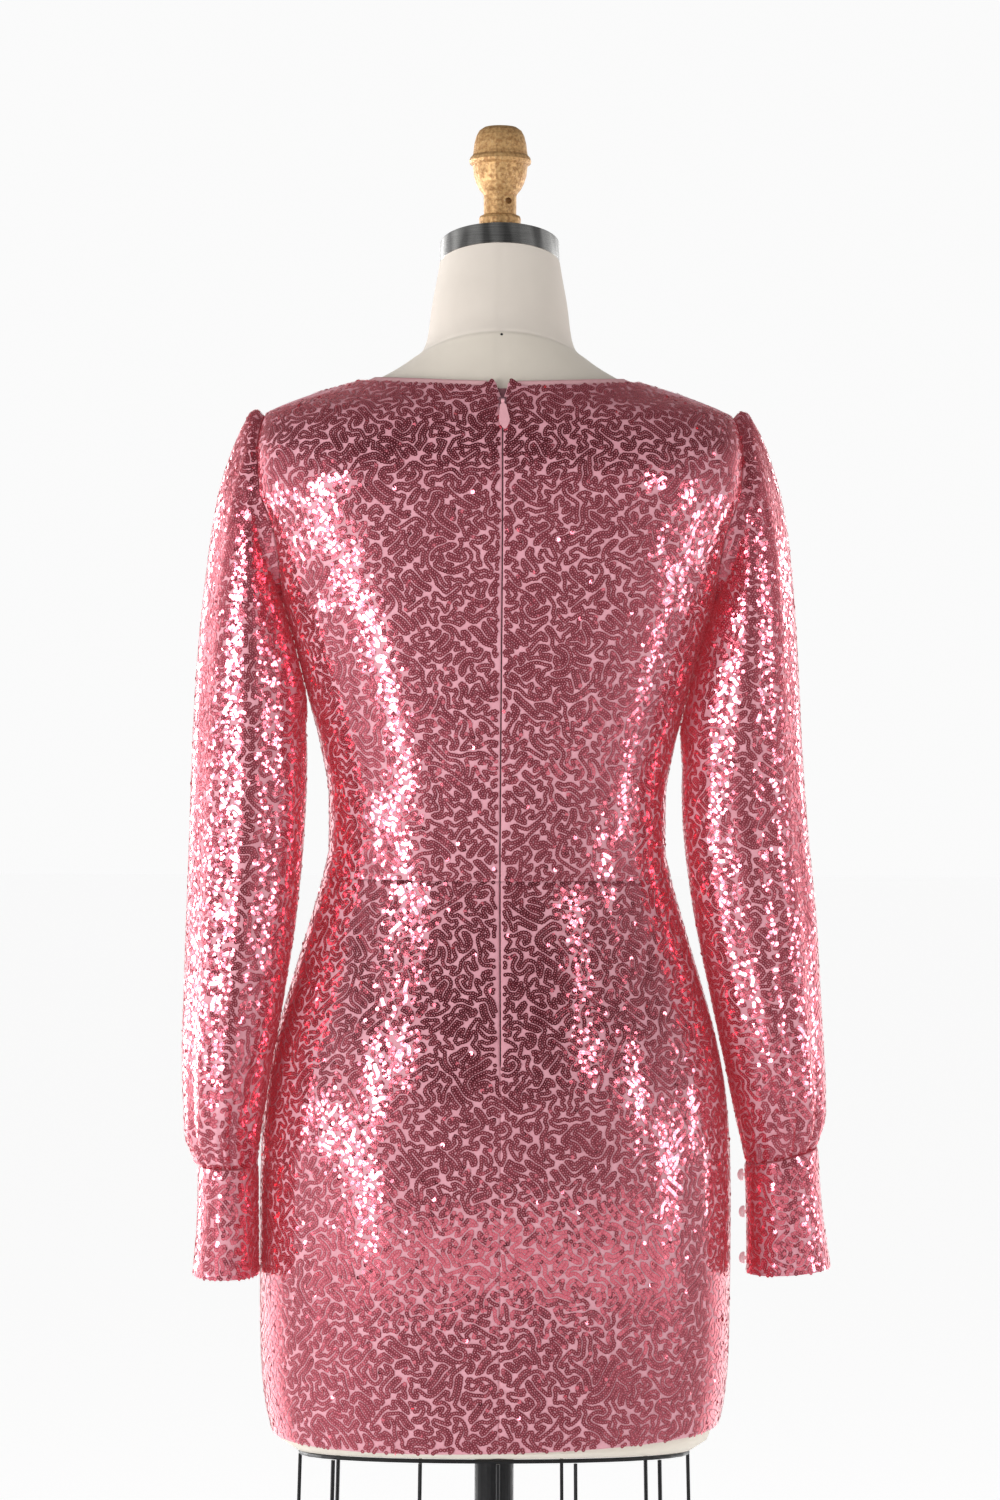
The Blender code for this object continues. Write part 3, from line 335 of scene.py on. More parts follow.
# ---- creases and darts: troughs and ridges pressed into the panels ----
# Each row: distance from the centre line towards the wearer's left, height, half length, half width, how far
# it stands out (under zero for a trough), and its lean from upright in degrees.
CREASE_COLUMNS = ("from_centre", "height", "length", "width", "out", "lean")
BACK_CREASES = (
    (0.042, 1.11, 0.065, 0.003, -0.0009, 0),
    (-0.041, 1.105, 0.06, 0.003, -0.0009, 1),
    (0.098, 0.985, 0.05, 0.0032, -0.0011, 16),
    (-0.112, 0.99, 0.045, 0.003, -0.001, -12),
    (0.135, 1.255, 0.04, 0.009, -0.0014, -38),
    (-0.138, 1.262, 0.034, 0.008, -0.0012, 34),
    (0.12, 1.075, 0.03, 0.0065, -0.0013, 72),
    (-0.108, 1.083, 0.026, 0.006, -0.0012, -66),
    (0.07, 1.062, 0.034, 0.006, 0.001, 84),
    (-0.06, 1.068, 0.03, 0.0055, 0.0009, -80),
    (0.125, 0.905, 0.06, 0.014, -0.0012, 10),
    (-0.13, 0.88, 0.055, 0.013, -0.0011, -8),
    (0.05, 0.845, 0.05, 0.02, -0.0008, 78),
    (-0.055, 0.85, 0.055, 0.019, -0.0008, -82),
    (0.115, 0.7, 0.05, 0.015, -0.001, 6),
    (-0.1, 0.695, 0.045, 0.014, -0.0009, -10),
)
FRONT_CREASES = (
    (0.062, 1.12, 0.07, 0.003, -0.0009, 4),
    (-0.064, 1.115, 0.066, 0.003, -0.0009, -4),
    (0.13, 1.19, 0.045, 0.0032, -0.001, 62),
    (-0.134, 1.186, 0.042, 0.0032, -0.001, -60),
    (0.088, 0.985, 0.045, 0.0032, -0.001, 12),
    (-0.086, 0.99, 0.05, 0.003, -0.001, -14),
    (0.15, 1.07, 0.03, 0.0065, -0.0013, 74),
    (-0.14, 1.078, 0.034, 0.006, -0.0012, -70),
    (0.145, 1.29, 0.036, 0.0085, -0.0013, 32),
    (-0.142, 1.284, 0.04, 0.009, -0.0012, -36),
    (0.06, 0.88, 0.06, 0.018, -0.0009, 80),
    (-0.07, 0.87, 0.05, 0.016, -0.0009, -76),
    (0.11, 0.71, 0.055, 0.015, -0.001, 8),
    (-0.12, 0.72, 0.05, 0.014, -0.0009, -6),
)


def creases(table, from_centre, height):
    total = np.zeros(np.shape(height))
    for row in table:
        at = dict(zip(CREASE_COLUMNS, row))
        lean = math.radians(at["lean"])
        aside, up = from_centre - at["from_centre"], height - at["height"]
        along = up * math.cos(lean) + aside * math.sin(lean)
        across = aside * math.cos(lean) - up * math.sin(lean)
        total += at["out"] * bell(across, at["width"]) * bell(along, at["length"])
    return total


def tuck(distance):
    """How far the cloth turns in at a distance from a seam."""
    return -SEWN_DEPTH * bell(distance, SEWN_WIDTH)


# ---- grids of points over each piece of cloth ----
def panel_net(low, high, quarters):
    """Rows up a panel that covers some quarters of the form, and shares across it, in cells."""
    widest = PANEL_SPAN * quarters * float(quarter(max(min(high, SPAN_TO), SPAN_FROM)))
    return steps_between(low, high), steps_between(0.0, widest) / widest * quarters


def panel_heights(rows, bottom, peak):
    """Heights over a panel whose rows run from its foot to its top."""
    return bottom + (rows[:, None] - rows[0]) * (peak - bottom) / (rows[-1] - rows[0])


def back_grid(side, low, high, foot=None, top=None, out=EASE_AND_WALL, above=0.0, clear=0.0, seams=True):
    """Points over a back panel in rows from low to high at its side edge, and in columns from the zip."""
    turn = 1 if side == "left" else -1
    rows, across = panel_net(low, high, 1)
    edges = np.array([side_edge(row, -1) for row in rows])[:, None]
    bottom = foot(turn * across) if foot else low + 0 * across
    heights = panel_heights(rows, bottom, (top(across) if top else high + 0 * across) + above)
    start = centre_edge(heights) / quarter(heights)
    share = np.maximum(start + (edges - start) * across, clear / quarter(heights))
    lift = np.full_like(heights, out)
    if seams:
        distance = share * quarter(heights)
        lift += creases(BACK_CREASES, turn * distance, heights)
        lift += tuck(distance - centre_edge(heights))
        lift += tuck((edges - share) * quarter(heights))
        lift += tuck(heights - WAIST)
    return off_body(heights, turn * share, lift)[:, ::turn]


def front_grid(low, high, foot=None, top=None, out=EASE_AND_WALL, above=0.0, seams=True):
    """Points over a front panel in rows, and in columns from the wearer's left to the right."""
    rows, across = panel_net(low, high, 2)
    edges = np.array([side_edge(row, 1) for row in rows])[:, None]
    bottom = foot(1 + across) if foot else low + 0 * across
    peak = (top(np.minimum(across, 2 - across)) if top else high + 0 * across) + above
    heights = panel_heights(rows, bottom, peak)
    share = edges + (2 - edges) * across
    lift = np.full_like(heights, out)
    if seams:
        lift += creases(FRONT_CREASES, (2 - share) * quarter(heights), heights)
        lift += tuck((share - edges) * quarter(heights)) + tuck((4 - edges - share) * quarter(heights))
        lift += tuck(heights - WAIST)
    return off_body(heights, share, lift)


def turn_steps(count):
    """Angles once round a ring, from next to the body and back to it."""
    return np.linspace(math.pi, 3 * math.pi, count + 1)


def ring(row, side, angles):
    at = dict(zip(RING_COLUMNS, row))
    outer, inner = np.array([at["outer_x"], 0, at["outer_z"]]), np.array([at["inner_x"], 0, at["inner_z"]])
    half = (outer - inner) / 2
    bow = unit(np.cross(half, [0, -1, 0])) * at.get("bow", 0)
    points = (outer + inner) / 2 + half * np.cos(angles)[:, None] + bow * np.sin(angles)[:, None] ** 2
    points[:, 1] += at["depth"] * np.sin(angles) + at["middle"]
    points[:, 0] *= side
    return points


def armhole_ring(side, angles):
    heights = ARMHOLE_MIDDLE + SLEEVE_INSET * ARMHOLE_HEIGHT / 2 * np.cos(angles)
    shares = [share_at(h, y) for h, y in zip(heights, SLEEVE_INSET * ARMHOLE_HALF * np.sin(angles))]
    points = off_body(heights, np.array(shares), EASE_AND_WALL)
    points[:, 0] *= side
    return points


def through(rings):
    """Rings at every cell's length along a smooth tube through a few rings."""
    rings = np.array(rings)
    apart = np.linalg.norm(np.diff(rings, axis=0), axis=2).mean(axis=1)
    places = np.concatenate([[0], np.cumsum(apart)])
    at = steps_between(0.0, places[-1])
    return curve(places, apart, rings, np.gradient(rings, places, axis=0), at), at / places[-1], at


# Small pleats at a sleeve's foot and head: how many, where from 0 to 1 down it, their reach and their depth.
GATHERS = ((20, 1, 0.09, 0.0026), (15, 0, 0.06, 0.0011))
GATHER_WIDTH = 0.28  # of the gap between them
UNDERARM_ANGLES = (100, 260)  # degrees between which a sleeve's head isn't gathered
SLEEVE_LEAVES_BODY = {"left": 1.185, "right": 1.158}  # the heights down to which the sleeves rest beside the body
BESIDE_BODY, MOST_PRESSED = 0.0013, 0.005  # the gap that is left there, and the most a sleeve moves for it
LEAVING, BELOW_HEAD = 0.03, 0.010  # lengths over which a sleeve comes off the body, and comes to it at its head
FACING_BODY = 0.35  # the part of a sleeve's ring that faces the body, in the cosine of its angle
SMOOTH_HEAD, LEAST_FOLD = 0.004, 0.2  # the length under its head where its folds grow, and their share at first
LEVEL_FOOT = 0.022  # above a sleeve's foot, over which its folds press straight inwards
CLOSE_TO_CUFF, CLOSING = 0.0012, 0.006  # how far the foot comes down to the cuff, and over what length


def sleeve_folds(angles, down, seed):
    """How far a sleeve's soft folds and gathers stand out, at angles round it and from 0 to 1 down it."""
    rng = np.random.default_rng(seed)
    degrees = np.degrees(angles)[None, :]
    down = down[:, None]
    total = np.zeros((len(down), degrees.shape[1]))
    for angle, spread, head, middle, foot in SLEEVE_FOLDS:
        away = (degrees - angle + 180) % 360 - 180
        low = middle + (foot - middle) * (2 * down - 1)
        depth = np.where(down < 0.5, head + (middle - head) * 2 * down, low)
        total += depth * bell(away, spread)
    for count, place, reach, depth in GATHERS:
        for i in range(count):
            angle = (i + rng.uniform(-0.3, 0.3)) * 360 / count
            if place == 0 and UNDERARM_ANGLES[0] < angle % 360 < UNDERARM_ANGLES[1]:
                continue
            away = (degrees - angle + 180) % 360 - 180
            fade = bell(down - place, reach * rng.uniform(0.5, 1.5))
            total -= depth * rng.uniform(0.5, 1.3) * bell(away, 360 / count * GATHER_WIDTH) * fade
    return total


def grid_normals(points, wrap=False):
    along = np.gradient(points, axis=1)
    if wrap:
        along[:, 0] = along[:, -1] = points[:, 1] - points[:, -2]
    return unit(np.cross(np.gradient(points, axis=0), along))


def sleeve_grid(side):
    """Points over a sleeve in rows from the armhole down, with its first and last column the same."""
    turn = 1 if side == "left" else -1
    angles = turn_steps(SLEEVE_SIDES)
    points, down, run = through([armhole_ring(turn, angles)] + [ring(row, turn, angles) for row in SLEEVES[side]])
    lift = sleeve_folds(angles, down, SEED + turn)
    lift += tuck(run)[:, None] + tuck(run[-1] - run)[:, None]
    lift *= np.clip(run / SMOOTH_HEAD, LEAST_FOLD, 1)[:, None]
    above = (points[..., 2] - SLEEVE_LEAVES_BODY[side]) / LEAVING + 1
    resting = np.clip(above, 0, 1) * bell(np.cos(angles) + 1, FACING_BODY)
    body = np.interp(points[..., 2], TORSO_TABLE["height"], TORSO_TABLE["half_width"]) + EASE_AND_WALL
    gap = np.abs(points[..., 0]) - body - BESIDE_BODY
    resting *= np.clip(run / BELOW_HEAD, 0, 1)[:, None]
    points[..., 0] -= turn * np.clip(gap, 0, MOST_PRESSED) * resting
    points[..., 2] -= CLOSE_TO_CUFF * bell(run[-1] - run, CLOSING)[:, None]
    points, lift = points[::-1, ::-turn], lift[::-1, ::-turn]
    pushes = grid_normals(points, wrap=True)
    pushes[..., 2] *= np.clip((run[-1] - run[::-1]) / LEVEL_FOOT, 0, 1)[:, None]
    return points + lift[..., None] * pushes


def cuff_grid(side):
    turn = 1 if side == "left" else -1
    angles = turn_steps(CUFF_SIDES)
    points, _, run = through([ring(row, turn, angles) for row in CUFFS[side]])
    points = points[::-1, ::-turn]
    return points + tuck(run)[::-1, None, None] * grid_normals(points, wrap=True)


# ---- meshes ----
def new_object(name, data):
    item = bpy.data.objects.new(name, data)
    bpy.context.scene.collection.objects.link(item)
    return item


def mesh_object(name, points, faces, smoothed=True, sharp=None):
    """A mesh of some points and faces. Where it is smoothed, edges past the sharp angle in degrees stay sharp."""
    mesh = bpy.data.meshes.new(name)
    mesh.from_pydata(points, [], faces)
    if smoothed:
        mesh.shade_smooth()
    if sharp:
        mesh.set_sharp_from_angle(angle=math.radians(sharp))
    return new_object(name, mesh)


def grid_faces(rows, cols, wrap=False):
    """The faces between a grid's points, which close it to a tube if it wraps."""
    index = np.arange(rows * cols).reshape(rows, cols)
    onward = np.roll(index, -1, axis=1)
    if not wrap:
        index, onward = index[:, :-1], onward[:, :-1]
    return np.stack([index[:-1], index[1:], onward[1:], onward[:-1]], axis=-1).reshape(-1, 4).tolist()


def settle(item, slot, finish, *nodes):
    """Gives a piece its finish, its body and the nodes that it stands for."""
    item.data.materials.append(finish)
    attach(item, BODY)
    if nodes:
        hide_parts(*nodes)


def cloth_shell(name, points, thickness, finish, slot, wrap=False):
    """A sheet over a grid of points. If it wraps, the last column is the first one again."""
    used = points[:, :-1] if wrap else points
    shell = mesh_object(f"cloth_{name}", used.reshape(-1, 3).tolist(), grid_faces(*used.shape[:2], wrap))
    wall = shell.modifiers.new("wall", "SOLIDIFY")
    wall.thickness, wall.offset, wall.use_even_offset = thickness, -1, False
    settle(shell, slot, finish, name)
    return shell


# ---- the cloth laid flat ----
SPRINGS = ((0, 1), (1, 0), (1, 1), (1, -1))
ROUNDS, SPRING_PULL = 260, 0.2
COARSE = 5  # one in so many of a grid's rows and columns is searched first
SEARCH_ROUNDS, FOUND, AT_ONCE = 12, 0.0002, 4000  # FOUND is how near a place has to be


def pairs(grid, down, on):
    """A grid's points beside those that lie some rows down and columns on from them."""
    rows, cols = grid.shape[:2]
    first, last = max(0, -on), max(0, on)
    return grid[: rows - down, first : cols - last], grid[down:, last : cols - first]


def lay_flat(points, tube=False):
    """Flat places of a grid's points, which keep the lengths of its edges and diagonals as well as they can."""
    middle = points.shape[1] // 2
    across = np.linalg.norm(np.diff(points, axis=1), axis=2)
    x = np.concatenate([np.zeros((len(points), 1)), np.cumsum(across, axis=1)], axis=1)
    x -= x[:, middle : middle + 1]
    up = np.linalg.norm(np.diff(points if tube else points[:, middle : middle + 1], axis=0), axis=2)
    y = np.concatenate([np.zeros((1, up.shape[1])), np.cumsum(up, axis=0)]) + np.zeros_like(x)
    flat = np.stack([x, y], axis=-1)
    rest = []
    for spring in SPRINGS:
        a, b = pairs(points, *spring)
        rest.append(np.linalg.norm(b - a, axis=-1, keepdims=True))
    for _ in range(ROUNDS):
        move = np.zeros_like(flat)
        for spring, length in zip(SPRINGS, rest):
            a, b = pairs(flat, *spring)
            pull = (b - a) * (1 - length / np.maximum(np.linalg.norm(b - a, axis=-1, keepdims=True), 1e-9))
            to_a, to_b = pairs(move, *spring)
            to_a += pull
            to_b -= pull
        flat += move * SPRING_PULL
    return flat


def grid_places(flat, wanted):
    """The fractional rows and columns at which a laid-out grid holds the wanted flat places, and which hold."""
    rows, cols = flat.shape[:2]
    coarse = flat[::COARSE, ::COARSE]
    known = coarse.reshape(-1, 2)
    nearest = np.concatenate([
        np.argmin(((part[:, None] - known) ** 2).sum(axis=2), axis=1)
        for part in np.array_split(wanted, max(1, len(wanted) // AT_ONCE))
    ])
    r = (nearest // coarse.shape[1] * COARSE).astype(float)
    c = (nearest % coarse.shape[1] * COARSE).astype(float)
    by_row, by_col = np.gradient(flat, axis=0), np.gradient(flat, axis=1)
    for _ in range(SEARCH_ROUNDS):
        miss = wanted - sample(flat, r, c)
        a, b = sample(by_row, r, c), sample(by_col, r, c)
        r = np.clip(r + np.clip(cross(miss, b) / cross(a, b), -COARSE, COARSE), 0, rows - 1)
        c = np.clip(c + np.clip(cross(a, miss) / cross(a, b), -COARSE, COARSE), 0, cols - 1)
    miss = np.linalg.norm(wanted - sample(flat, r, c), axis=1)
    return r, c, miss < FOUND


# ---- lines of sequins ----
PATCH = 3  # cells of the tree, over which the lines mostly run one way
LEAST_WEIGHT = 0.50  # of the edges that run one way in a patch; the most is 1, and low ones are taken first
VORTEX_GAP, VORTEX_SIZE, VORTEX_TURN = 0.021, 0.0068, 1.30
LINES_APART = (0.00310, 0.00385)  # least distance between lines, inside a pair of them and outside it
SPREAD_ROUNDS, LONGEST_MOVE = 16, 0.0006
STRAIGHTEN, PUSH = 0.20, 0.3  # shares by which bends are straightened and wrong distances put right in one round
BEYOND = 0.010  # how far past the cloth the lines still push each other


def random_tree(rows, cols, rng):
    """The edges of a random tree over a grid of cells, which run mostly one way in each patch."""
    way = rng.uniform(LEAST_WEIGHT, 1.0, (rows // PATCH + 2, cols // PATCH + 2, 2))
    edges = []
    for r, c in np.ndindex(rows, cols):
        for bias, beside in zip(way[r // PATCH, c // PATCH], ((r, c + 1), (r + 1, c))):
            if beside[0] < rows and beside[1] < cols:
                edges.append((rng.random() * bias, (r, c), beside))
    root = {cell: cell for cell in np.ndindex(rows, cols)}

    def top(cell):
        while root[cell] != cell:
            root[cell] = root[root[cell]]
            cell = root[cell]
        return cell

    kept = set()
    for _, a, b in sorted(edges):
        if top(a) != top(b):
            root[top(a)] = top(b)
            kept.add((a, b))
    return kept


# From each quarter of a cell, the way out of the cell along its tree and the way on inside it.
WAYS = {(0, 0): ((0, -1), (1, 0)), (1, 0): ((1, 0), (0, 1)), (1, 1): ((0, 1), (-1, 0)), (0, 1): ((-1, 0), (0, -1))}


def line_round(tree):
    """One closed line round a tree, through the four quarters of each cell."""
    line = [(0, 0)]
    while len(line) == 1 or line[-1] != line[0]:
        r, c = line[-1]
        out, on = WAYS[r % 2, c % 2]
        cell, beside = (r // 2, c // 2), (r // 2 + out[0], c // 2 + out[1])
        step = out if (cell, beside) in tree or (beside, cell) in tree else on
        line.append((r + step[0], c + step[1]))
    line = np.array(line[:-1], float)
    return line // 2 * 2 + 0.5 + (line % 2 * 2 - 1) * PAIRING


def swirled(places, rng):
    """Places turned round scattered centres, one in each square of a net, so that straight lines swirl."""
    low = places.min(axis=0) - VORTEX_GAP
    squares = ((places - low) / VORTEX_GAP).astype(int)
    count = squares.max(axis=0) + 2
    corners = np.stack(np.meshgrid(*(np.arange(n) for n in count), indexing="ij"), axis=-1)
    centres = low + VORTEX_GAP * (corners + rng.random(corners.shape))
    sizes = VORTEX_SIZE * rng.uniform(0.7, 1.3, count)
    turns = VORTEX_TURN * rng.uniform(0.5, 1.0, count) * rng.choice([-1, 1], count)
    moved = places.copy()
    for step in np.ndindex(3, 3):
        i, j = (squares + step).T - 1
        arm = places - centres[i, j]
        angle = turns[i, j] * bell(np.linalg.norm(arm, axis=1), sizes[i, j])
        cosine, sine = np.cos(angle), np.sin(angle)
        spun = np.stack([arm[:, 0] * cosine - arm[:, 1] * sine, arm[:, 0] * sine + arm[:, 1] * cosine], axis=1)
        moved += spun - arm
    return moved


def spread(line, turn):
    """Moves a line's points until they are a pitch apart and its bends lie evenly beside each other."""
    count = len(line)
    index = np.arange(count)
    for _ in range(SPREAD_ROUNDS):
        cells = ((line - line.min(axis=0)) / LINES_APART[1]).astype(int) + 1
        width = cells[:, 0].max() + 2
        keys = cells[:, 1] * width + cells[:, 0]
        order = np.argsort(keys, kind="stable")
        ordered = keys[order]
        before, after = np.roll(line, 1, axis=0), np.roll(line, -1, axis=0)
        way = unit(after - before)
        move = STRAIGHTEN * ((before + after) / 2 - line)
        for gap in (before - line, after - line):
            move += PUSH * gap * (1 - SEQUIN_PITCH / np.maximum(np.linalg.norm(gap, axis=1, keepdims=True), 1e-6))
        for cell in (a + b * width for a in (-1, 0, 1) for b in (-1, 0, 1)):
            start = np.searchsorted(ordered, keys + cell)
            stop = np.searchsorted(ordered, keys + cell, side="right")
            for k in range((stop - start).max()):
                other = order[np.minimum(start + k, count - 1)]
                steps = np.abs(index - other)
                gap = line[other] - line
                length = np.maximum(np.linalg.norm(gap, axis=1), 1e-6)
                wanted = np.where(turn * cross(way, gap) > 0, *LINES_APART)
                close = (start + k < stop) & (np.minimum(steps, count - steps) > 2) & (length < wanted)
                move -= gap * (close * PUSH * (wanted / length - 1))[:, None]
        line = line + np.clip(move, -LONGEST_MOVE, LONGEST_MOVE)
    return line


def sequin_line(width, height, rng):
    """Sequins' flat places and the way their line runs, over a rectangle with its middle at 0, 0."""
    side = (width + height) / math.sqrt(2) + 8 * ROW_GAP
    cells = math.ceil(side / (2 * ROW_GAP))
    line = line_round(random_tree(cells, cells, rng))
    onward = np.roll(line, -1, axis=0)
    line = np.stack([line * 0.75 + onward * 0.25, line * 0.25 + onward * 0.75], axis=1).reshape(-1, 2)
    line = (line - line.max(axis=0) / 2) * ROW_GAP
    line = np.stack([line[:, 0] - line[:, 1], line[:, 0] + line[:, 1]], axis=1) / math.sqrt(2)
    line = swirled(line, rng)
    apart = np.linalg.norm(np.roll(line, -1, axis=0) - line, axis=1)
    run = np.concatenate([[0], np.cumsum(apart)])
    at = np.arange(0, run[-1], SEQUIN_PITCH)
    closed = np.vstack([line, line[:1]])
    places = np.stack([np.interp(at, run, closed[:, i]) for i in (0, 1)], axis=1)
    turn = np.sign(cross(closed[:-1], closed[1:]).sum())
    places = spread(places[(np.abs(places) < np.array([width, height]) / 2 + BEYOND).all(axis=1)], turn)
    return places, unit(np.roll(places, -1, axis=0) - np.roll(places, 1, axis=0))


SHINGLE = math.radians(1.2)  # each sequin leans on the next one of its line
SCATTER, SLEEVE_SCATTER = math.radians(1.3), math.radians(2.6)
LOOSE_SHARE, LOOSE_SCATTER = 0.05, math.radians(12)


def sequin_mesh(name, points, normals, ways, scatter, rng):
    """Flat round sequins at some points, each a little tilted, as one mesh."""
    count = len(points)
    spread = np.where(rng.random(count) < LOOSE_SHARE, LOOSE_SCATTER, scatter)[:, None]
    lean = SHINGLE + spread * rng.standard_normal((count, 1))
    roll = spread * rng.standard_normal((count, 1))
    faced = unit(normals + ways * np.tan(lean) + np.cross(normals, ways) * np.tan(roll))
    first = unit(ways - faced * (ways * faced).sum(axis=1, keepdims=True))
    second = np.cross(faced, first)
    middle = points + normals * SEQUIN_LIFT * rng.uniform(0.8, 1.25, (count, 1))
    radius = SEQUIN_RADIUS * rng.uniform(0.96, 1.03, (count, 1, 1))
    turn = 2 * math.pi * (np.arange(SEQUIN_SIDES) + 0.5) / SEQUIN_SIDES
    disc = np.stack([np.cos(turn), np.sin(turn)], axis=1)
    corners = middle[:, None] + radius * (disc[:, :1] * first[:, None] + disc[:, 1:] * second[:, None])
    mesh = bpy.data.meshes.new(name)
    total = count * SEQUIN_SIDES
    mesh.vertices.add(total)
    mesh.vertices.foreach_set("co", corners.astype(np.float32).ravel())
    mesh.loops.add(total)
    mesh.loops.foreach_set("vertex_index", np.arange(total, dtype=np.int32))
    mesh.polygons.add(count)
    mesh.polygons.foreach_set("loop_start", np.arange(0, total, SEQUIN_SIDES, dtype=np.int32))
    mesh.update(calc_edges=True)
    places = np.tile(disc / 2 + 0.5, (count, 1)).astype(np.float32)
    mesh.uv_layers.new(name="disc").data.foreach_set("uv", places.ravel())
    tones = rng.random(count).astype(np.float32)
    mesh.attributes.new("tone", "FLOAT", "FACE").data.foreach_set("value", tones)
    return new_object(name, mesh)


# ---- materials ----
PAINTED_GLOW_COLOUR = (1.0, 0.12, 0.16)  # the colour of the painted glow, which stands in for light that comes through the cloth
BODY_PAINTED_GLOW, SLEEVE_PAINTED_GLOW = (0.02, 0.07), (0.05, 0.11)  # how strong the painted glow is, where the cloth faces back and sideways


class Tree:
    """A node tree whose inputs take either plain values or the outputs of other nodes."""

    def __init__(self, owner):
        owner.use_nodes = True
        self.tree = owner.node_tree

    def give(self, socket, value):
        if isinstance(value, bpy.types.NodeSocket):
            self.tree.links.new(value, socket)
        else:
            socket.default_value = value

    def node(self, kind, inputs=None, **settings):
        """Adds a node and returns its outputs."""
        made = self.tree.nodes.new("ShaderNode" + kind)
        for key, value in settings.items():
            setattr(made, key, value)
        for key, value in (inputs or {}).items():
            self.give(made.inputs[key], value)
        return made.outputs

    @functools.cached_property
    def place(self):
        return self.node("TexCoord")["Object"]

    def math(self, operation, first, second=0.0):
        return self.node("Math", {0: first, 1: second}, operation=operation)[0]

    def mix(self, share, first, second):
        return self.node("Mix", {0: share, 6: first, 7: second}, data_type="RGBA")[2]

    def ramp(self, value, low, high, first=0.0, last=1.0):
        return self.node("MapRange", {0: value, 1: low, 2: high, 3: first, 4: last})[0]

    def noise(self, scale, detail=2.0, where=None):
        return self.node("TexNoise", {"Vector": where or self.place, "Scale": scale, "Detail": detail})[0]


class Look(Tree):
    """A material and its one shader."""

    def __init__(self, name, **values):
        self.material = bpy.data.materials.new(name)
        super().__init__(self.material)
        self.set(**values)

    def set(self, **values):
        """Gives values or outputs to the shader's inputs, and returns the material."""
        for name, value in values.items():
            self.give(self.tree.nodes["Principled BSDF"].inputs[name.replace("_", " ")], value)
        return self.material

    def bump(self, height, distance, strength):
        self.set(Normal=self.node("Bump", {"Height": height, "Distance": distance, "Strength": strength})[0])

    # Painted light: the surface gives off a red glow of its own, weak where it faces back or front and strong where
    # it faces sideways, in place of light that comes through the cloth.
    def paint_glow_at_sides(self, through):
        facing = self.node("SeparateXYZ", {0: self.node("NewGeometry")["Normal"]})[0]
        sideways = self.ramp(self.math("ABSOLUTE", facing), 0.65, 0.97)
        weak, strong = ((*(amount * part for part in PAINTED_GLOW_COLOUR), 1) for amount in through)
        self.set(Emission_Color=self.mix(sideways, weak, strong), Emission_Strength=1.0)


def sequin_material(name, through):
    """Metallic foil with a darker rim and the pink mesh in the hole in its middle, which gives off a painted red
    glow that is stronger where it faces sideways.
    """
    look = Look(name, Coat_Weight=0.8, Coat_Roughness=0.08, Sheen_Weight=0.5, Sheen_Roughness=0.45,
                Sheen_Tint=(1.0, 0.20, 0.25, 1))
    look.paint_glow_at_sides(through)
    disc = look.node("UVMap", uv_map="disc")[0]
    centred = look.node("VectorMath", {0: disc, 1: (0.5, 0.5, 0.0)}, operation="SUBTRACT")[0]
    radius = look.node("VectorMath", {0: centred}, operation="LENGTH")["Value"]
    tone = look.node("Attribute", attribute_name="tone")["Fac"]
    foil = look.mix(tone, (0.70, 0.115, 0.170, 1), (0.88, 0.180, 0.245, 1))
    hole, rim = look.ramp(radius, 0.105, 0.150, 1.0, 0.0), look.ramp(radius, 0.34, 0.48)
    edged = look.mix(look.math("MULTIPLY", rim, 0.40), foil, (0.26, 0.036, 0.062, 1))
    rough = look.math("MAXIMUM", look.ramp(tone, 0.0, 1.0, 0.07, 0.15), look.math("MULTIPLY", hole, 0.7))
    return look.set(Base_Color=look.mix(hole, edged, (0.46, 0.170, 0.205, 1)),
                    Metallic=look.math("SUBTRACT", 1.0, hole), Roughness=rough)


def mesh_cloth_material(name, colour, darker, through=BODY_PAINTED_GLOW):
    """Fine stretch mesh: a close knit with soft bumps and slightly uneven colour, with a painted red glow that is
    stronger where it faces sideways.
    """
    look = Look(name, Roughness=0.75, Sheen_Weight=0.25, Sheen_Roughness=0.4, Sheen_Tint=(1.0, 0.50, 0.55, 1))
    look.paint_glow_at_sides(through)
    knit = look.node("TexVoronoi", {"Vector": look.place, "Scale": 1500.0})["Distance"]
    base = look.mix(look.ramp(look.noise(45.0, 3.0), 0.35, 0.65), darker, colour)
    look.bump(knit, 0.0002, 0.6)
    return look.set(Base_Color=look.mix(look.ramp(knit, 0.25, 0.60, 0.0, 0.35), base, darker))


def canvas_material():
    """Woven canvas, which is a little greyer on the form's neck."""
    look = Look("canvas", Roughness=0.9, Sheen_Weight=0.15, Sheen_Roughness=0.5)
    thread = {"Vector": look.place, "Scale": 420.0, "Distortion": 1.0, "Detail": 1.0}
    weave = look.math("MAXIMUM", *(look.node("TexWave", thread, bands_direction=way)["Fac"] for way in "XZ"))
    clouds = look.ramp(look.noise(18.0, 4.0), 0.3, 0.7)
    body = look.mix(clouds, (0.68, 0.615, 0.53, 1), (0.735, 0.67, 0.58, 1))
    neck = look.mix(clouds, (0.645, 0.58, 0.515, 1), (0.695, 0.63, 0.56, 1))
    base = look.mix(look.node("Attribute", attribute_name="neck_piece")["Fac"], body, neck)
    look.bump(weave, 0.00025, 0.5)
    return look.set(Base_Color=look.mix(look.math("MULTIPLY", weave, 0.10), base, (0.42, 0.38, 0.33, 1)))


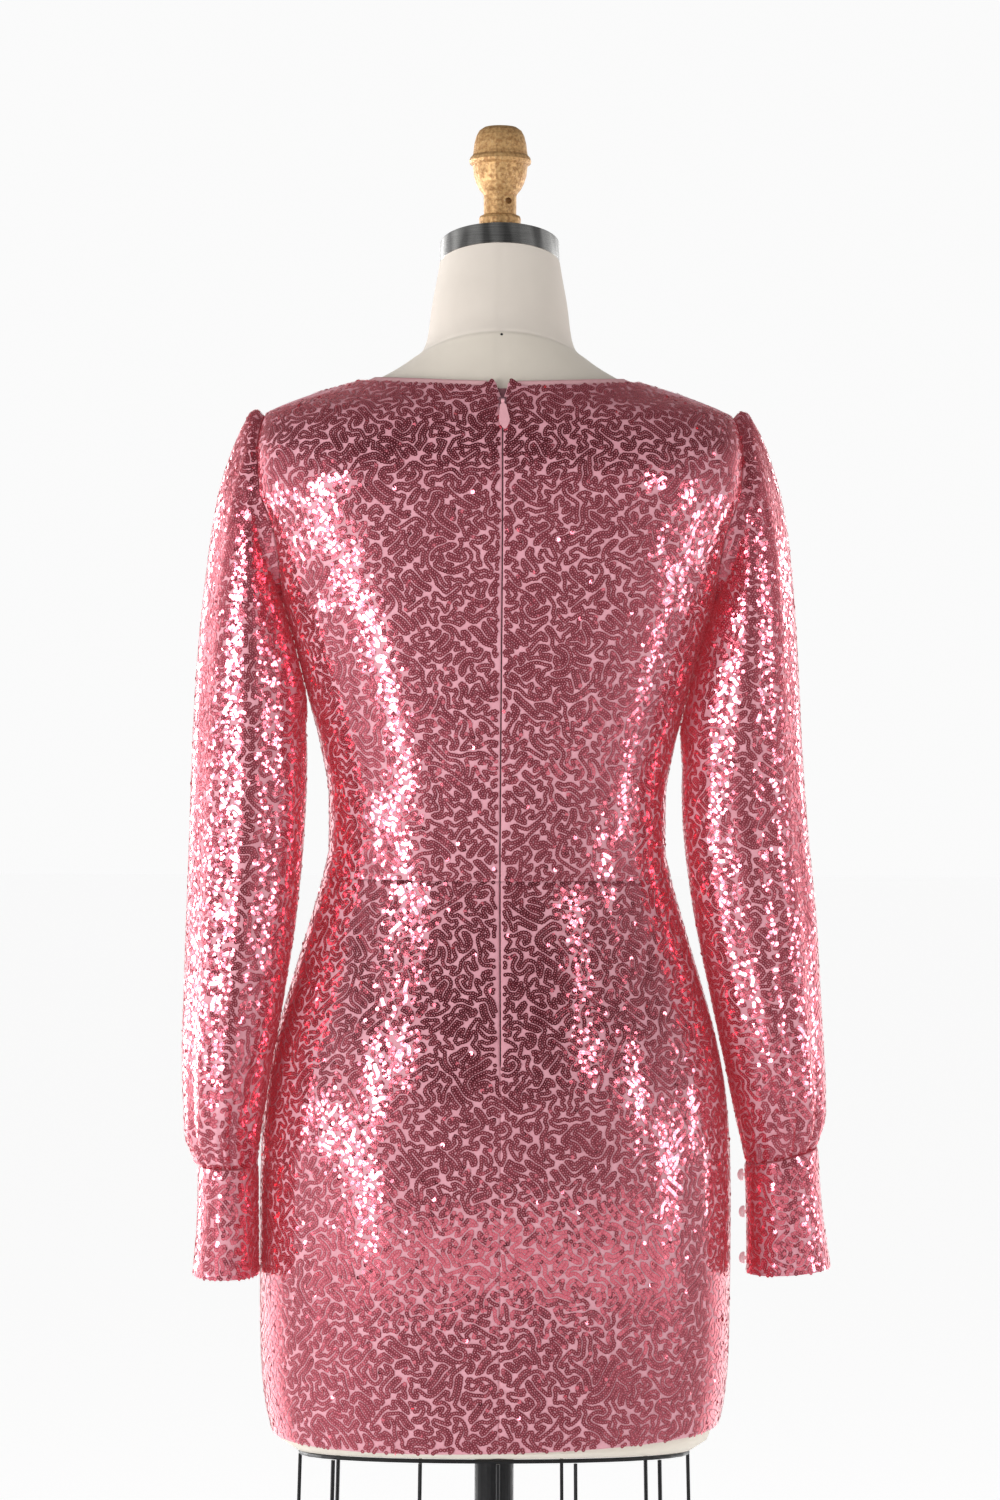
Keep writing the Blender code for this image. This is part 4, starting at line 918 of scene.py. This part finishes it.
def steel_material():
    """Steel brushed round the cap's edge, with broad upright stripes of painted reflection, dark and bright, in its
    colour.
    """
    look = Look("brushed_steel", Metallic=1.0, Anisotropic=0.5)
    along, upright = (look.node("Mapping", {"Vector": look.place, "Scale": scale})[0]
                      for scale in ((30.0, 30.0, 2500.0), (70.0, 70.0, 0.0)))
    lines = look.noise(1.0, 3.0, along)
    # Painted reflection: broad upright stripes, dark and bright, put into the steel's colour.
    painted_reflection_bands = look.ramp(look.noise(1.0, 1.0, upright), 0.42, 0.58, 0.15, 1.0)
    bright = look.mix(lines, (0.78, 0.77, 0.75, 1), (0.90, 0.89, 0.87, 1))
    look.bump(lines, 0.00005, 0.4)
    return look.set(Base_Color=look.mix(painted_reflection_bands, (0.26, 0.255, 0.25, 1), bright),
                    Roughness=look.ramp(lines, 0.3, 0.7, 0.22, 0.36))


def finial_material():
    """Gold paint with darker blots, worn pale in small spots."""
    look = Look("worn_gold_paint", Metallic=0.45)
    blots = look.noise(420.0, 6.0)
    base = look.mix(look.ramp(blots, 0.36, 0.62), (0.38, 0.190, 0.070, 1), (0.66, 0.40, 0.170, 1))
    worn = look.ramp(look.noise(900.0), 0.60, 0.72, 0.0, 0.5)
    look.bump(blots, 0.0003, 0.4)
    return look.set(Base_Color=look.mix(worn, base, (0.85, 0.66, 0.40, 1)),
                    Roughness=look.ramp(blots, 0.3, 0.7, 0.62, 0.38))


def black_material():
    look = Look("black_metal", Specular_IOR_Level=0.30)
    spots = look.noise(260.0, 4.0)
    look.bump(spots, 0.0001, 0.3)
    return look.set(Base_Color=look.mix(spots, (0.006, 0.006, 0.007, 1), (0.016, 0.016, 0.018, 1)),
                    Roughness=look.ramp(spots, 0.3, 0.7, 0.30, 0.48))


# Painted light: the pearl gives off a pink glow of its own, which lifts it where it sits in shade between cuff and
# hip, and a painted sheen makes its colour paler towards its outline as seen.
def pearl_painted_glow_material():
    look = Look("pearl", Roughness=0.30, Coat_Weight=0.5, Coat_Roughness=0.08,
                Emission_Color=(1.0, 0.66, 0.70, 1), Emission_Strength=0.26)
    facing = look.node("LayerWeight", {"Blend": 0.35})["Facing"]
    return look.set(Base_Color=look.mix(facing, (0.93, 0.80, 0.82, 1), (0.97, 0.88, 0.93, 1)))


def enamel_material(name, darker, lighter):
    look = Look(name, Roughness=0.34, Coat_Weight=0.3, Coat_Roughness=0.2)
    grain = look.noise(700.0, 3.0)
    look.bump(grain, 0.00006, 0.5)
    return look.set(Base_Color=look.mix(grain, darker, lighter))


MESH_COLOURS = (0.66, 0.330, 0.385, 1), (0.59, 0.270, 0.320, 1)
BODY_LOOKS = (mesh_cloth_material("pink_mesh", *MESH_COLOURS), sequin_material("sequin_foil", BODY_PAINTED_GLOW), SCATTER)
SLEEVE_LOOKS = (mesh_cloth_material("pink_mesh_sleeve", *MESH_COLOURS, SLEEVE_PAINTED_GLOW),
                sequin_material("sequin_foil_sleeve", SLEEVE_PAINTED_GLOW), SLEEVE_SCATTER)
LINING = mesh_cloth_material("facing_cloth", (0.80, 0.48, 0.50, 1), (0.72, 0.40, 0.43, 1))
TAPE = mesh_cloth_material("zip_tape_weave", (0.20, 0.075, 0.095, 1), (0.13, 0.045, 0.06, 1))
TEETH = Look("nylon_teeth", Base_Color=(0.10, 0.055, 0.06, 1), Roughness=0.35).material
ENAMEL = enamel_material("pink_enamel", (0.62, 0.29, 0.33, 1), (0.76, 0.40, 0.44, 1))
SLIDER_METAL = enamel_material("dark_enamel", (0.14, 0.055, 0.07, 1), (0.22, 0.09, 0.11, 1))
BLACK = black_material()


# ---- the dress ----
BARE = {"sewn": 0.0006, "neck": 0.0006, "hem": 0.0003}  # from an edge to the nearest sequins' middles
BESIDE_ZIP = {"left": 0.0040, "right": 0.0026}
SEAM_BELOW_ZIP = 0.0005
ON_FORM = ["form_torso"]


def on_grid(points, flat, wrap, places, ways):
    """The points, normals and directions over a grid that belong to some flat places and directions."""
    r, c, held_by = grid_places(flat, places)
    r, c, ways = r[held_by], c[held_by], ways[held_by]
    by_row, by_col = sample(np.gradient(flat, axis=0), r, c), sample(np.gradient(flat, axis=1), r, c)
    size = cross(by_row, by_col)
    up, aside = (cross(ways, by_col) / size)[:, None], (cross(by_row, ways) / size)[:, None]
    run = up * sample(np.gradient(points, axis=0), r, c) + aside * sample(np.gradient(points, axis=1), r, c)
    face = unit(sample(grid_normals(points, wrap), r, c))
    run = unit(run - face * (run * face).sum(axis=1, keepdims=True))
    rows, cols = points.shape[:2]
    high, wide = np.linalg.norm(by_row, axis=1), np.linalg.norm(by_col, axis=1)
    gaps = {"foot": r * high, "top": (rows - 1 - r) * high, "first": c * wide, "last": (cols - 1 - c) * wide}
    return sample(points, r, c), face, run, gaps


def bare_edge(kind, heights):
    """The bare distance along an edge of some kind, at each height."""
    if kind in BARE:
        return BARE[kind]
    return np.where(heights > ZIP_END, BESIDE_ZIP[kind], SEAM_BELOW_ZIP)


def make_cloth(name, points, rests_on, seed, wrap=False, looks=BODY_LOOKS, **edges):
    """A panel, sleeve or cuff: its mesh cloth and, on it, lines of sequins over its own flat shape.

    The edges say which kind the foot, top, first or last edge of the grid is, where it isn't sewn.
    """
    cloth, foil, scatter = looks
    shell = cloth_shell(name, points, CLOTH, cloth, "sequins", wrap)
    flat = lay_flat(points, wrap)
    low, high = flat.min(axis=(0, 1)), flat.max(axis=(0, 1))
    rng = np.random.default_rng(seed)
    places, ways = sequin_line(*(high - low), rng)
    spots, faces, runs, gaps = on_grid(points, flat, wrap, places + (low + high) / 2, ways)
    kept = np.ones(len(spots), bool)
    for side in ("foot", "top") if wrap else ("foot", "top", "first", "last"):
        kept &= gaps[side] > bare_edge(edges.get(side, "sewn"), spots[:, 2]) * rng.uniform(0.7, 1.3, len(spots))
    sequins = sequin_mesh(f"sequins_{name}", spots[kept], faces[kept], runs[kept], scatter, rng)
    settle(sequins, "sequins", foil)


def neck_back_raised(across):
    """The back neckline with the corner that stands up beside the zip."""
    return neck_back(across) + HORN_RISE * bell(across * float(quarter(NECK_BACK)) - HORN_PLACE, HORN_WIDTH)


def make_panels():
    low, high = WAIST + CLOSED, WAIST - CLOSED
    for side, zip_edge, seed in (("left", "first", 1), ("right", "last", 2)):
        beside = {zip_edge: side}
        bodice = back_grid(side, low, NECK_SIDE, top=neck_back_raised)
        make_cloth(f"bodice_back_{side}", bodice, ON_FORM, SEED * seed, top="neck", **beside)
        skirt = back_grid(side, HEM, high, foot=hemline)
        make_cloth(f"skirt_back_{side}", skirt, ON_FORM, SEED * seed + 1, foot="hem", **beside)
    bodice = front_grid(low, NECK_SIDE, top=neck_front)
    make_cloth("bodice_front", bodice, ON_FORM, SEED * 3, top="neck")
    skirt = front_grid(HEM, high, foot=hemline)
    make_cloth("skirt_front", skirt, ON_FORM, SEED * 3 + 1, foot="hem")


def make_sleeves():
    for side, seed in (("left", 4), ("right", 5)):
        tube = {"wrap": True, "looks": SLEEVE_LOOKS}
        make_cloth(f"sleeve_{side}", sleeve_grid(side), [f"bodice_back_{side}"], SEED * seed, **tube)
        make_cloth(f"cuff_{side}", cuff_grid(side), [f"sleeve_{side}"], SEED * seed + 1, foot="hem", **tube)


# ---- facings and the zip ----
def facing_foot(top):
    """Heights of a facing's foot below the neckline, which reaches as far down a panel as at its side edge."""
    share = (FACING_FOOT - WAIST - SEAM) / (NECK_SIDE - WAIST - SEAM)
    return WAIST + SEAM + share * (top - WAIST - SEAM)


def plain_sheet(name, points, finish, slot):
    shell = cloth_shell(name, points, FACING, finish, slot)
    lay_flat(points)


def make_facings():
    """Plain strips inside the neckline that stand a little above it."""
    plain = {"out": FACING_OUT, "above": FACING_ABOVE, "seams": False}
    top = NECK_SIDE + FACING_ABOVE
    for side in ("left", "right"):
        points = back_grid(side, FACING_FOOT, top, lambda across: facing_foot(neck_back(np.abs(across))),
                           neck_back, clear=FACING_FROM_ZIP, **plain)
        plain_sheet(f"neck_facing_back_{side}", points, LINING, "facing")
    points = front_grid(FACING_FOOT, top, lambda share: facing_foot(neck_front(np.minimum(share - 1, 3 - share))),
                        neck_front, **plain)
    plain_sheet("neck_facing_front", points, LINING, "facing")


TEETH_GAP, TOOTH = 0.0011, (0.0016, 0.0007, 0.0006)  # between teeth; width, depth and height of one
TEETH_LIFT, TEETH_FROM, TEETH_TO = 0.0002, ZIP_END + 0.004, NECK_BACK - 0.0010
TAPE_TOP, TAPE_COLUMNS = NECK_BACK - 0.0003, 9
BOX_FACES = ((0, 1, 3, 2), (4, 6, 7, 5), (0, 4, 5, 1), (2, 3, 7, 6), (0, 2, 6, 4), (1, 5, 7, 3))


def make_tape():
    across = np.linspace(-TAPE_HALF, TAPE_HALF, TAPE_COLUMNS)
    heights, across = np.meshgrid(np.arange(ZIP_END, TAPE_TOP, CELL), across, indexing="ij")
    plain_sheet("zip_tape", off_body(heights, across / quarter(heights) % 4, FACING_OUT), TAPE, "zip")


def make_teeth():
    """Rows of small teeth on the tape, closed below the notch and open in it."""
    heights = np.arange(TEETH_FROM, TEETH_TO, TEETH_GAP)
    sides = np.where(np.arange(len(heights)) % 2, 1, -1)
    open_by = np.maximum(0.0, centre_edge(heights) - ZIP_OPENING)
    shares = sides * (open_by + TOOTH[0] * 0.25) / quarter(heights) % 4
    bases = off_body(heights, shares, FACING_OUT + TEETH_LIFT)
    outward = unit(bases - off_body(heights, shares, 0.0))
    box = np.array([(x, y, z) for x in (-0.5, 0.5) for y in (0, 1) for z in (-0.5, 0.5)])
    corners = bases[:, None] + box * (TOOTH[0], 0, TOOTH[2]) + outward[:, None] * box[:, 1:2] * TOOTH[1]
    faces = [[8 * i + corner for corner in face] for i in range(len(heights)) for face in BOX_FACES]
    settle(mesh_object("zip_teeth", corners.reshape(-1, 3).tolist(), faces, smoothed=False), "zip", TEETH)


# ---- turned pieces ----
GAP = 0.0003  # under a turned piece, to what it sits on
SHARP = 20  # degrees past which its edges stay sharp


def facing(place, way):
    """The matrix that puts something at a place, with its own Z along a way."""
    return Matrix.Translation(place) @ way.to_track_quat("Z", "Y").to_matrix().to_4x4()


def turned(name, profile, steps, matrix, sharp=None):
    """A shape turned round Z from a profile of (radius, height) that starts on the axis, and may end on it."""
    closed = profile[-1][0] == 0
    rings = profile[1:-1] if closed else profile[1:]
    turns = np.linspace(0, 2 * math.pi, steps, endpoint=False)
    points = [(r * math.sin(a), r * math.cos(a), z) for r, z in rings for a in turns] + [(0, 0, profile[0][1])]
    top, last = len(points) - 1, (len(rings) - 1) * steps
    faces = []
    for i in range(steps):
        j = (i + 1) % steps
        faces.append((top, j, i))
        if closed:
            faces.append((top + 1, last + i, last + j))
        faces += [(row + i, row + j, row + steps + j, row + steps + i) for row in range(0, last, steps)]
    if closed:
        points.append((0, 0, profile[-1][1]))
    item = mesh_object(name, points, faces, sharp=sharp)
    item.data.transform(matrix)
    return item


# ---- buttons ----
BUTTON_RADIUS, BUTTON_DOME, BUTTON_EDGE = 0.0047, 0.0034, 0.0010
BUTTON_UNDER, UNDER_IN, UNDER_DOWN = 0.0042, 0.0001, 0.0005  # its underside's radius, and the rounding down to it
SHANK_RADIUS, SHANK_LENGTH = 0.0014, 0.0014
BUTTON_DROPS = (0.12, 0.45, 0.88)
BUTTON_ANGLES = {"left": 250.0, "right": 193.0}
DOME_STEPS, BUTTON_SIDES = 12, 40


def cuff_place(side, down, angle):
    """Where a button sits on a cuff, and the way it faces."""
    places = np.linspace(0, 1, len(CUFFS[side]))
    table = columns(RING_COLUMNS, CUFFS[side])
    at = {name: float(smooth(places, values, down)) for name, values in table.items()}
    outer, inner = Vector((at["outer_x"], 0, at["outer_z"])), Vector((at["inner_x"], 0, at["inner_z"]))
    half = (outer - inner) / 2
    cosine, sine = math.cos(angle), math.sin(angle)
    point = (outer + inner) / 2 + half * cosine + Vector((0, at["middle"] + at["depth"] * sine, 0))
    normal = Vector((cosine / half.x, sine / at["depth"], 0)).normalized()
    if side == "right":
        point.x, normal.x = -point.x, -normal.x
    return point + normal * GAP, normal


def make_buttons():
    """Pearly domed buttons on short shanks, in a row down each cuff."""
    pearl = pearl_painted_glow_material()
    edge = SHANK_LENGTH + BUTTON_EDGE
    profile = []
    for i in range(DOME_STEPS + 1):
        turn = math.pi / 2 * i / DOME_STEPS
        profile.append((BUTTON_RADIUS * math.sin(turn), edge + BUTTON_DOME * math.cos(turn)))
    profile += [(BUTTON_RADIUS - UNDER_IN, edge - UNDER_DOWN), (BUTTON_UNDER, SHANK_LENGTH)]
    profile += [(SHANK_RADIUS, SHANK_LENGTH), (SHANK_RADIUS, 0), (0, 0)]
    for side in CUFFS:
        for i, down in enumerate(BUTTON_DROPS, start=1):
            matrix = facing(*cuff_place(side, down, math.radians(BUTTON_ANGLES[side])))
            dome = turned(f"pearl_{side}_{i}", profile, BUTTON_SIDES, matrix, SHARP)
            settle(dome, "pearl", pearl, f"button_{side}_{i}")


# ---- the form ----
NECK_SEAM_HEIGHT, NECK_SEAM_TILT = 1.4290, 0.31
SEAM_DEPTH, SEAM_HALF, LONG_SEAM_HALF = 0.0007, 0.0013, 0.0020
NECK_STEP = 0.0004  # how far the neck piece lies inside the body piece at their seam
NECK_STEP_FROM, NECK_STEP_FADE = 0.002, 0.02  # how far up the step starts to fade, and over what length
TORSO_SHARES, TORSO_SHARP = 120, 50
NECK_FROM, NECK_TO = 1.405, 1.455  # where the rows lie close, for the seam
ROW, CLOSE_ROW, NECK_ROWS = 0.009, 0.0007, 12
CAP_RADIUS, CAP_HEIGHT, CAP_EDGE, CAP_SIDES = 0.0448, 0.0166, 0.0008, 144
PIN_RADIUS, PIN_DOME, PIN_BELOW_SEAM, PIN_SIDES = 0.0010, 0.0005, 0.0030, 16


def neck_seam_distance(points):
    """How far up from the seam that goes round the foot of the neck, sloping down to the front."""
    return points[..., 2] - NECK_SEAM_TILT * points[..., 1] - NECK_SEAM_HEIGHT


def make_torso():
    """The canvas body with its neck seam and long seams pressed in, closed at the top and foot."""
    rows = np.concatenate([np.arange(FOOT_HEIGHT, NECK_FROM, ROW), np.arange(NECK_FROM, NECK_TO, CLOSE_ROW),
                           np.linspace(NECK_TO, NECK_TOP, NECK_ROWS)])
    heights, shares = np.meshgrid(rows, np.linspace(0, 4, TORSO_SHARES + 1), indexing="ij")
    above = neck_seam_distance(off_body(heights, shares, 0.0))
    pressed = SEAM_DEPTH * bell(above, SEAM_HALF)
    for seam in range(5):
        pressed = np.maximum(pressed, SEAM_DEPTH / 2 * bell((shares - seam) * quarter(heights), LONG_SEAM_HALF))
    fade = np.clip(1 - (above - NECK_STEP_FROM) / NECK_STEP_FADE, 0, 1)
    pressed += NECK_STEP * np.clip(above / SEAM_HALF, 0, 1) * fade
    points = off_body(heights, shares, -pressed)[:, :-1]
    foot = list(range(TORSO_SHARES))
    top = [(len(rows) - 1) * TORSO_SHARES + i for i in foot]
    faces = grid_faces(len(rows), TORSO_SHARES, wrap=True) + [foot, top[::-1]]
    torso = mesh_object("canvas_torso", points.reshape(-1, 3).tolist(), faces, sharp=TORSO_SHARP)
    piece = torso.data.attributes.new("neck_piece", "FLOAT", "POINT")
    piece.data.foreach_set("value", (above[:, :-1] > 0).astype(np.float32).ravel())
    settle(torso, "canvas", canvas_material(), "form_torso")


def make_cap():
    """A round steel plate that leans with the neck."""
    lean = math.atan(NECK_TILT)
    rounded = CAP_EDGE * 0.3
    profile = [(0, CAP_HEIGHT), (CAP_RADIUS - CAP_EDGE, CAP_HEIGHT)]
    profile += [(CAP_RADIUS - rounded, CAP_HEIGHT - rounded), (CAP_RADIUS, CAP_HEIGHT - CAP_EDGE)]
    profile += [(CAP_RADIUS, CAP_EDGE), (CAP_RADIUS - CAP_EDGE, 0), (0, 0)]
    matrix = Matrix.Translation((0, 0, NECK_TOP + GAP / math.cos(lean))) @ Matrix.Rotation(lean, 4, "X")
    settle(turned("steel_cap", profile, CAP_SIDES, matrix, SHARP), "steel", steel_material(), "form_neck_cap")


def make_pin():
    """The dark head of a pin in the neck seam at the centre back."""
    heights, share = np.linspace(NECK_FROM, NECK_TO, 101), np.array([0.0])
    height = float(np.interp(-PIN_BELOW_SEAM, neck_seam_distance(off_body(heights, share, 0.0)), heights))
    place = off_body(np.array([height]), share, 0.0)[0]
    outward = unit(off_body(np.array([height]), share, 0.01)[0] - place)
    profile = [(PIN_RADIUS * math.sin(a), PIN_DOME * math.cos(a)) for a in np.linspace(0, math.pi / 2, 5)]
    settle(turned("neck_pin", profile, PIN_SIDES, facing(Vector(place), Vector(outward))), "black_metal", BLACK)


def finish_nodes():
    """Gives the CAD nodes that stay their materials."""
    kept = {"form_finial": finial_material(), "zip_slider": SLIDER_METAL, "zip_pull": ENAMEL}
    for name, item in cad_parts.items():
        finish = kept.get(name) or (BLACK if name.startswith(("cage_", "stand_")) else None)
        if finish:
            for spot in item.material_slots:
                spot.material = finish


make_panels()
make_sleeves()
make_facings()
make_tape()
make_teeth()
make_buttons()
make_torso()
make_cap()
make_pin()
finish_nodes()

# ---- camera ----
CAMERA_DISTANCE, CAMERA_HEIGHT = 2.70, 1.14
CAMERA_TURN, CAMERA_ROLL = math.radians(1.5), math.radians(0.27)
LENS, SENSOR = 86.4, 36.0
SHIFT = 2.5 / 1500  # the view's middle from the form's axis, as a share of the frame's longer side


def make_camera():
    data = bpy.data.cameras.new("camera")
    data.lens, data.sensor_width, data.shift_x, data.clip_end = LENS, SENSOR, SHIFT, 100.0
    camera = new_object("camera", data)
    back = Vector((math.sin(CAMERA_TURN), math.cos(CAMERA_TURN), 0.0))
    camera.location = back * CAMERA_DISTANCE + Vector((0, 0, CAMERA_HEIGHT))
    aim = back.to_track_quat("Z", "Y").to_matrix()
    camera.rotation_euler = (aim @ Matrix.Rotation(CAMERA_ROLL, 3, "Z")).to_euler()
    bpy.context.scene.camera = camera


# ---- light ----
# The soft boxes: how far each is turned from the middle of the back towards the wearer's right in degrees,
# its width, its lowest and highest point, and its brightness. The same stand in front of the dress.
SOFTBOX_COLUMNS = ("turn", "width", "foot", "top", "radiance")
SOFTBOXES = (
    (-34, 0.14, 1.48, 1.72, 10),
    (-46, 0.22, 1.06, 1.60, 18),
    (-45, 0.22, 0.58, 0.82, 18),
    (-55, 0.20, 0.76, 0.98, 16),
    (-68, 0.24, 0.88, 1.12, 11),
    (-91, 0.34, 0.90, 1.30, 7),
    (34, 0.12, 1.48, 1.72, 9),
    (54, 0.16, 1.02, 1.50, 10),
    (72, 0.20, 0.66, 0.98, 7),
    (90, 0.22, 0.84, 1.20, 6.5),
)
SOFTBOX_DISTANCE = 1.6
AMBIENT, PAPER = 0.57, 0.962  # how bright the sky is for plain surfaces, and to look at
CARD_RADIUS, CARD_FOOT, CARD_TOP, CARD_TURN, CARD_RADIANCE = 1.2, 0.500, 0.690, math.radians(80), 0.78
CARD_STEPS = 24
FLOOR_HALF = 30.0


def make_softboxes():
    """Soft boxes that face the form's axis, behind the dress and before it."""
    for i, row in enumerate(SOFTBOXES, start=1):
        at = dict(zip(SOFTBOX_COLUMNS, row))
        turn = math.radians(at["turn"])
        for place, ahead in (("back", 1), ("front", -1)):
            data = bpy.data.lights.new(f"softbox_{place}_{i}", "AREA")
            data.shape = "RECTANGLE"
            data.size, data.size_y = at["width"], at["top"] - at["foot"]
            data.energy = at["radiance"] * math.pi * data.size * data.size_y
            light = new_object(data.name, data)
            away = Vector((-math.sin(turn), ahead * math.cos(turn), 0))
            light.location = away * SOFTBOX_DISTANCE + Vector((0, 0, (at["top"] + at["foot"]) / 2))
            light.rotation_euler = away.to_track_quat("Z", "Y").to_euler()
            light.visible_camera = False


def studio_gloss(sky, split):
    """What shiny things see: a dark room behind the camera, grey sides and bright paper beyond."""
    near = sky.ramp(split["Y"], 0.95, 0.40, 0.225, 0.48)
    paper = sky.ramp(split["Y"], -0.30, -0.65, 0.0, 1.50)
    far = sky.ramp(split["Y"], -0.90, -0.97, 0.0, -1.30)
    upright = sky.ramp(split["Z"], 0.10, 0.32, 1.0, 0.0)
    level = sky.math("ADD", near, sky.math("MULTIPLY", sky.math("ADD", paper, far), upright))
    side = sky.ramp(split["X"], -1.0, 1.0, 0.85, 1.15)
    ceiling = sky.ramp(split["Z"], 0.15, 0.50, 1.0, 0.25)
    return sky.math("MULTIPLY", sky.math("MULTIPLY", level, side), ceiling)


def make_world():
    """Bright paper to look at, soft light for plain surfaces and the studio for shiny ones."""
    world = bpy.data.worlds.new("studio")
    bpy.context.scene.world = world
    sky = Tree(world)
    sky.tree.nodes.clear()
    split = sky.node("SeparateXYZ", {0: sky.node("TexCoord")["Generated"]})
    path = sky.node("LightPath")
    soft = sky.ramp(split["Z"], 0.0, 0.8, AMBIENT, AMBIENT * 0.60)
    plain = sky.node("Mix", {0: path["Is Glossy Ray"], 2: soft, 3: studio_gloss(sky, split)})[0]
    seen = sky.node("Mix", {0: path["Is Camera Ray"], 2: plain, 3: PAPER})[0]
    sky.node("OutputWorld", {0: sky.node("Background", {"Color": (1, 1, 1, 1), "Strength": seen})[0]})


def make_low_card():
    """A curved pale card low behind the camera, which only shows in the sequins."""
    turns = np.linspace(-CARD_TURN, CARD_TURN, CARD_STEPS + 1)
    around = np.stack([-np.sin(turns), np.cos(turns)], axis=1) * CARD_RADIUS
    points = [(x, y, z) for z in (CARD_FOOT, CARD_TOP) for x, y in around.tolist()]
    count = len(turns)
    faces = [(i, i + 1, count + i + 1, count + i) for i in range(count - 1)]
    card = mesh_object("low_card", points, faces, smoothed=False)
    card.data.materials.append(Look("card_glow", Emission_Color=(1, 1, 1, 1), Emission_Strength=CARD_RADIANCE,
                                    Base_Color=(0, 0, 0, 1)).material)
    card.visible_camera = card.visible_diffuse = card.visible_shadow = False


def make_floor():
    corners = [(x * FLOOR_HALF, y * FLOOR_HALF, 0) for x, y in ((-1, -1), (1, -1), (1, 1), (-1, 1))]
    floor = mesh_object("floor", corners, [(0, 1, 2, 3)], smoothed=False)
    floor.data.materials.append(Look("pale_floor", Base_Color=(0.80, 0.80, 0.80, 1), Roughness=0.9,
                                     Emission_Color=(1, 1, 1, 1), Emission_Strength=0.64).material)
    floor.visible_glossy = False


make_camera()
make_world()
make_floor()
make_low_card()
make_softboxes()
bpy.context.scene.view_settings.view_transform = "Standard"
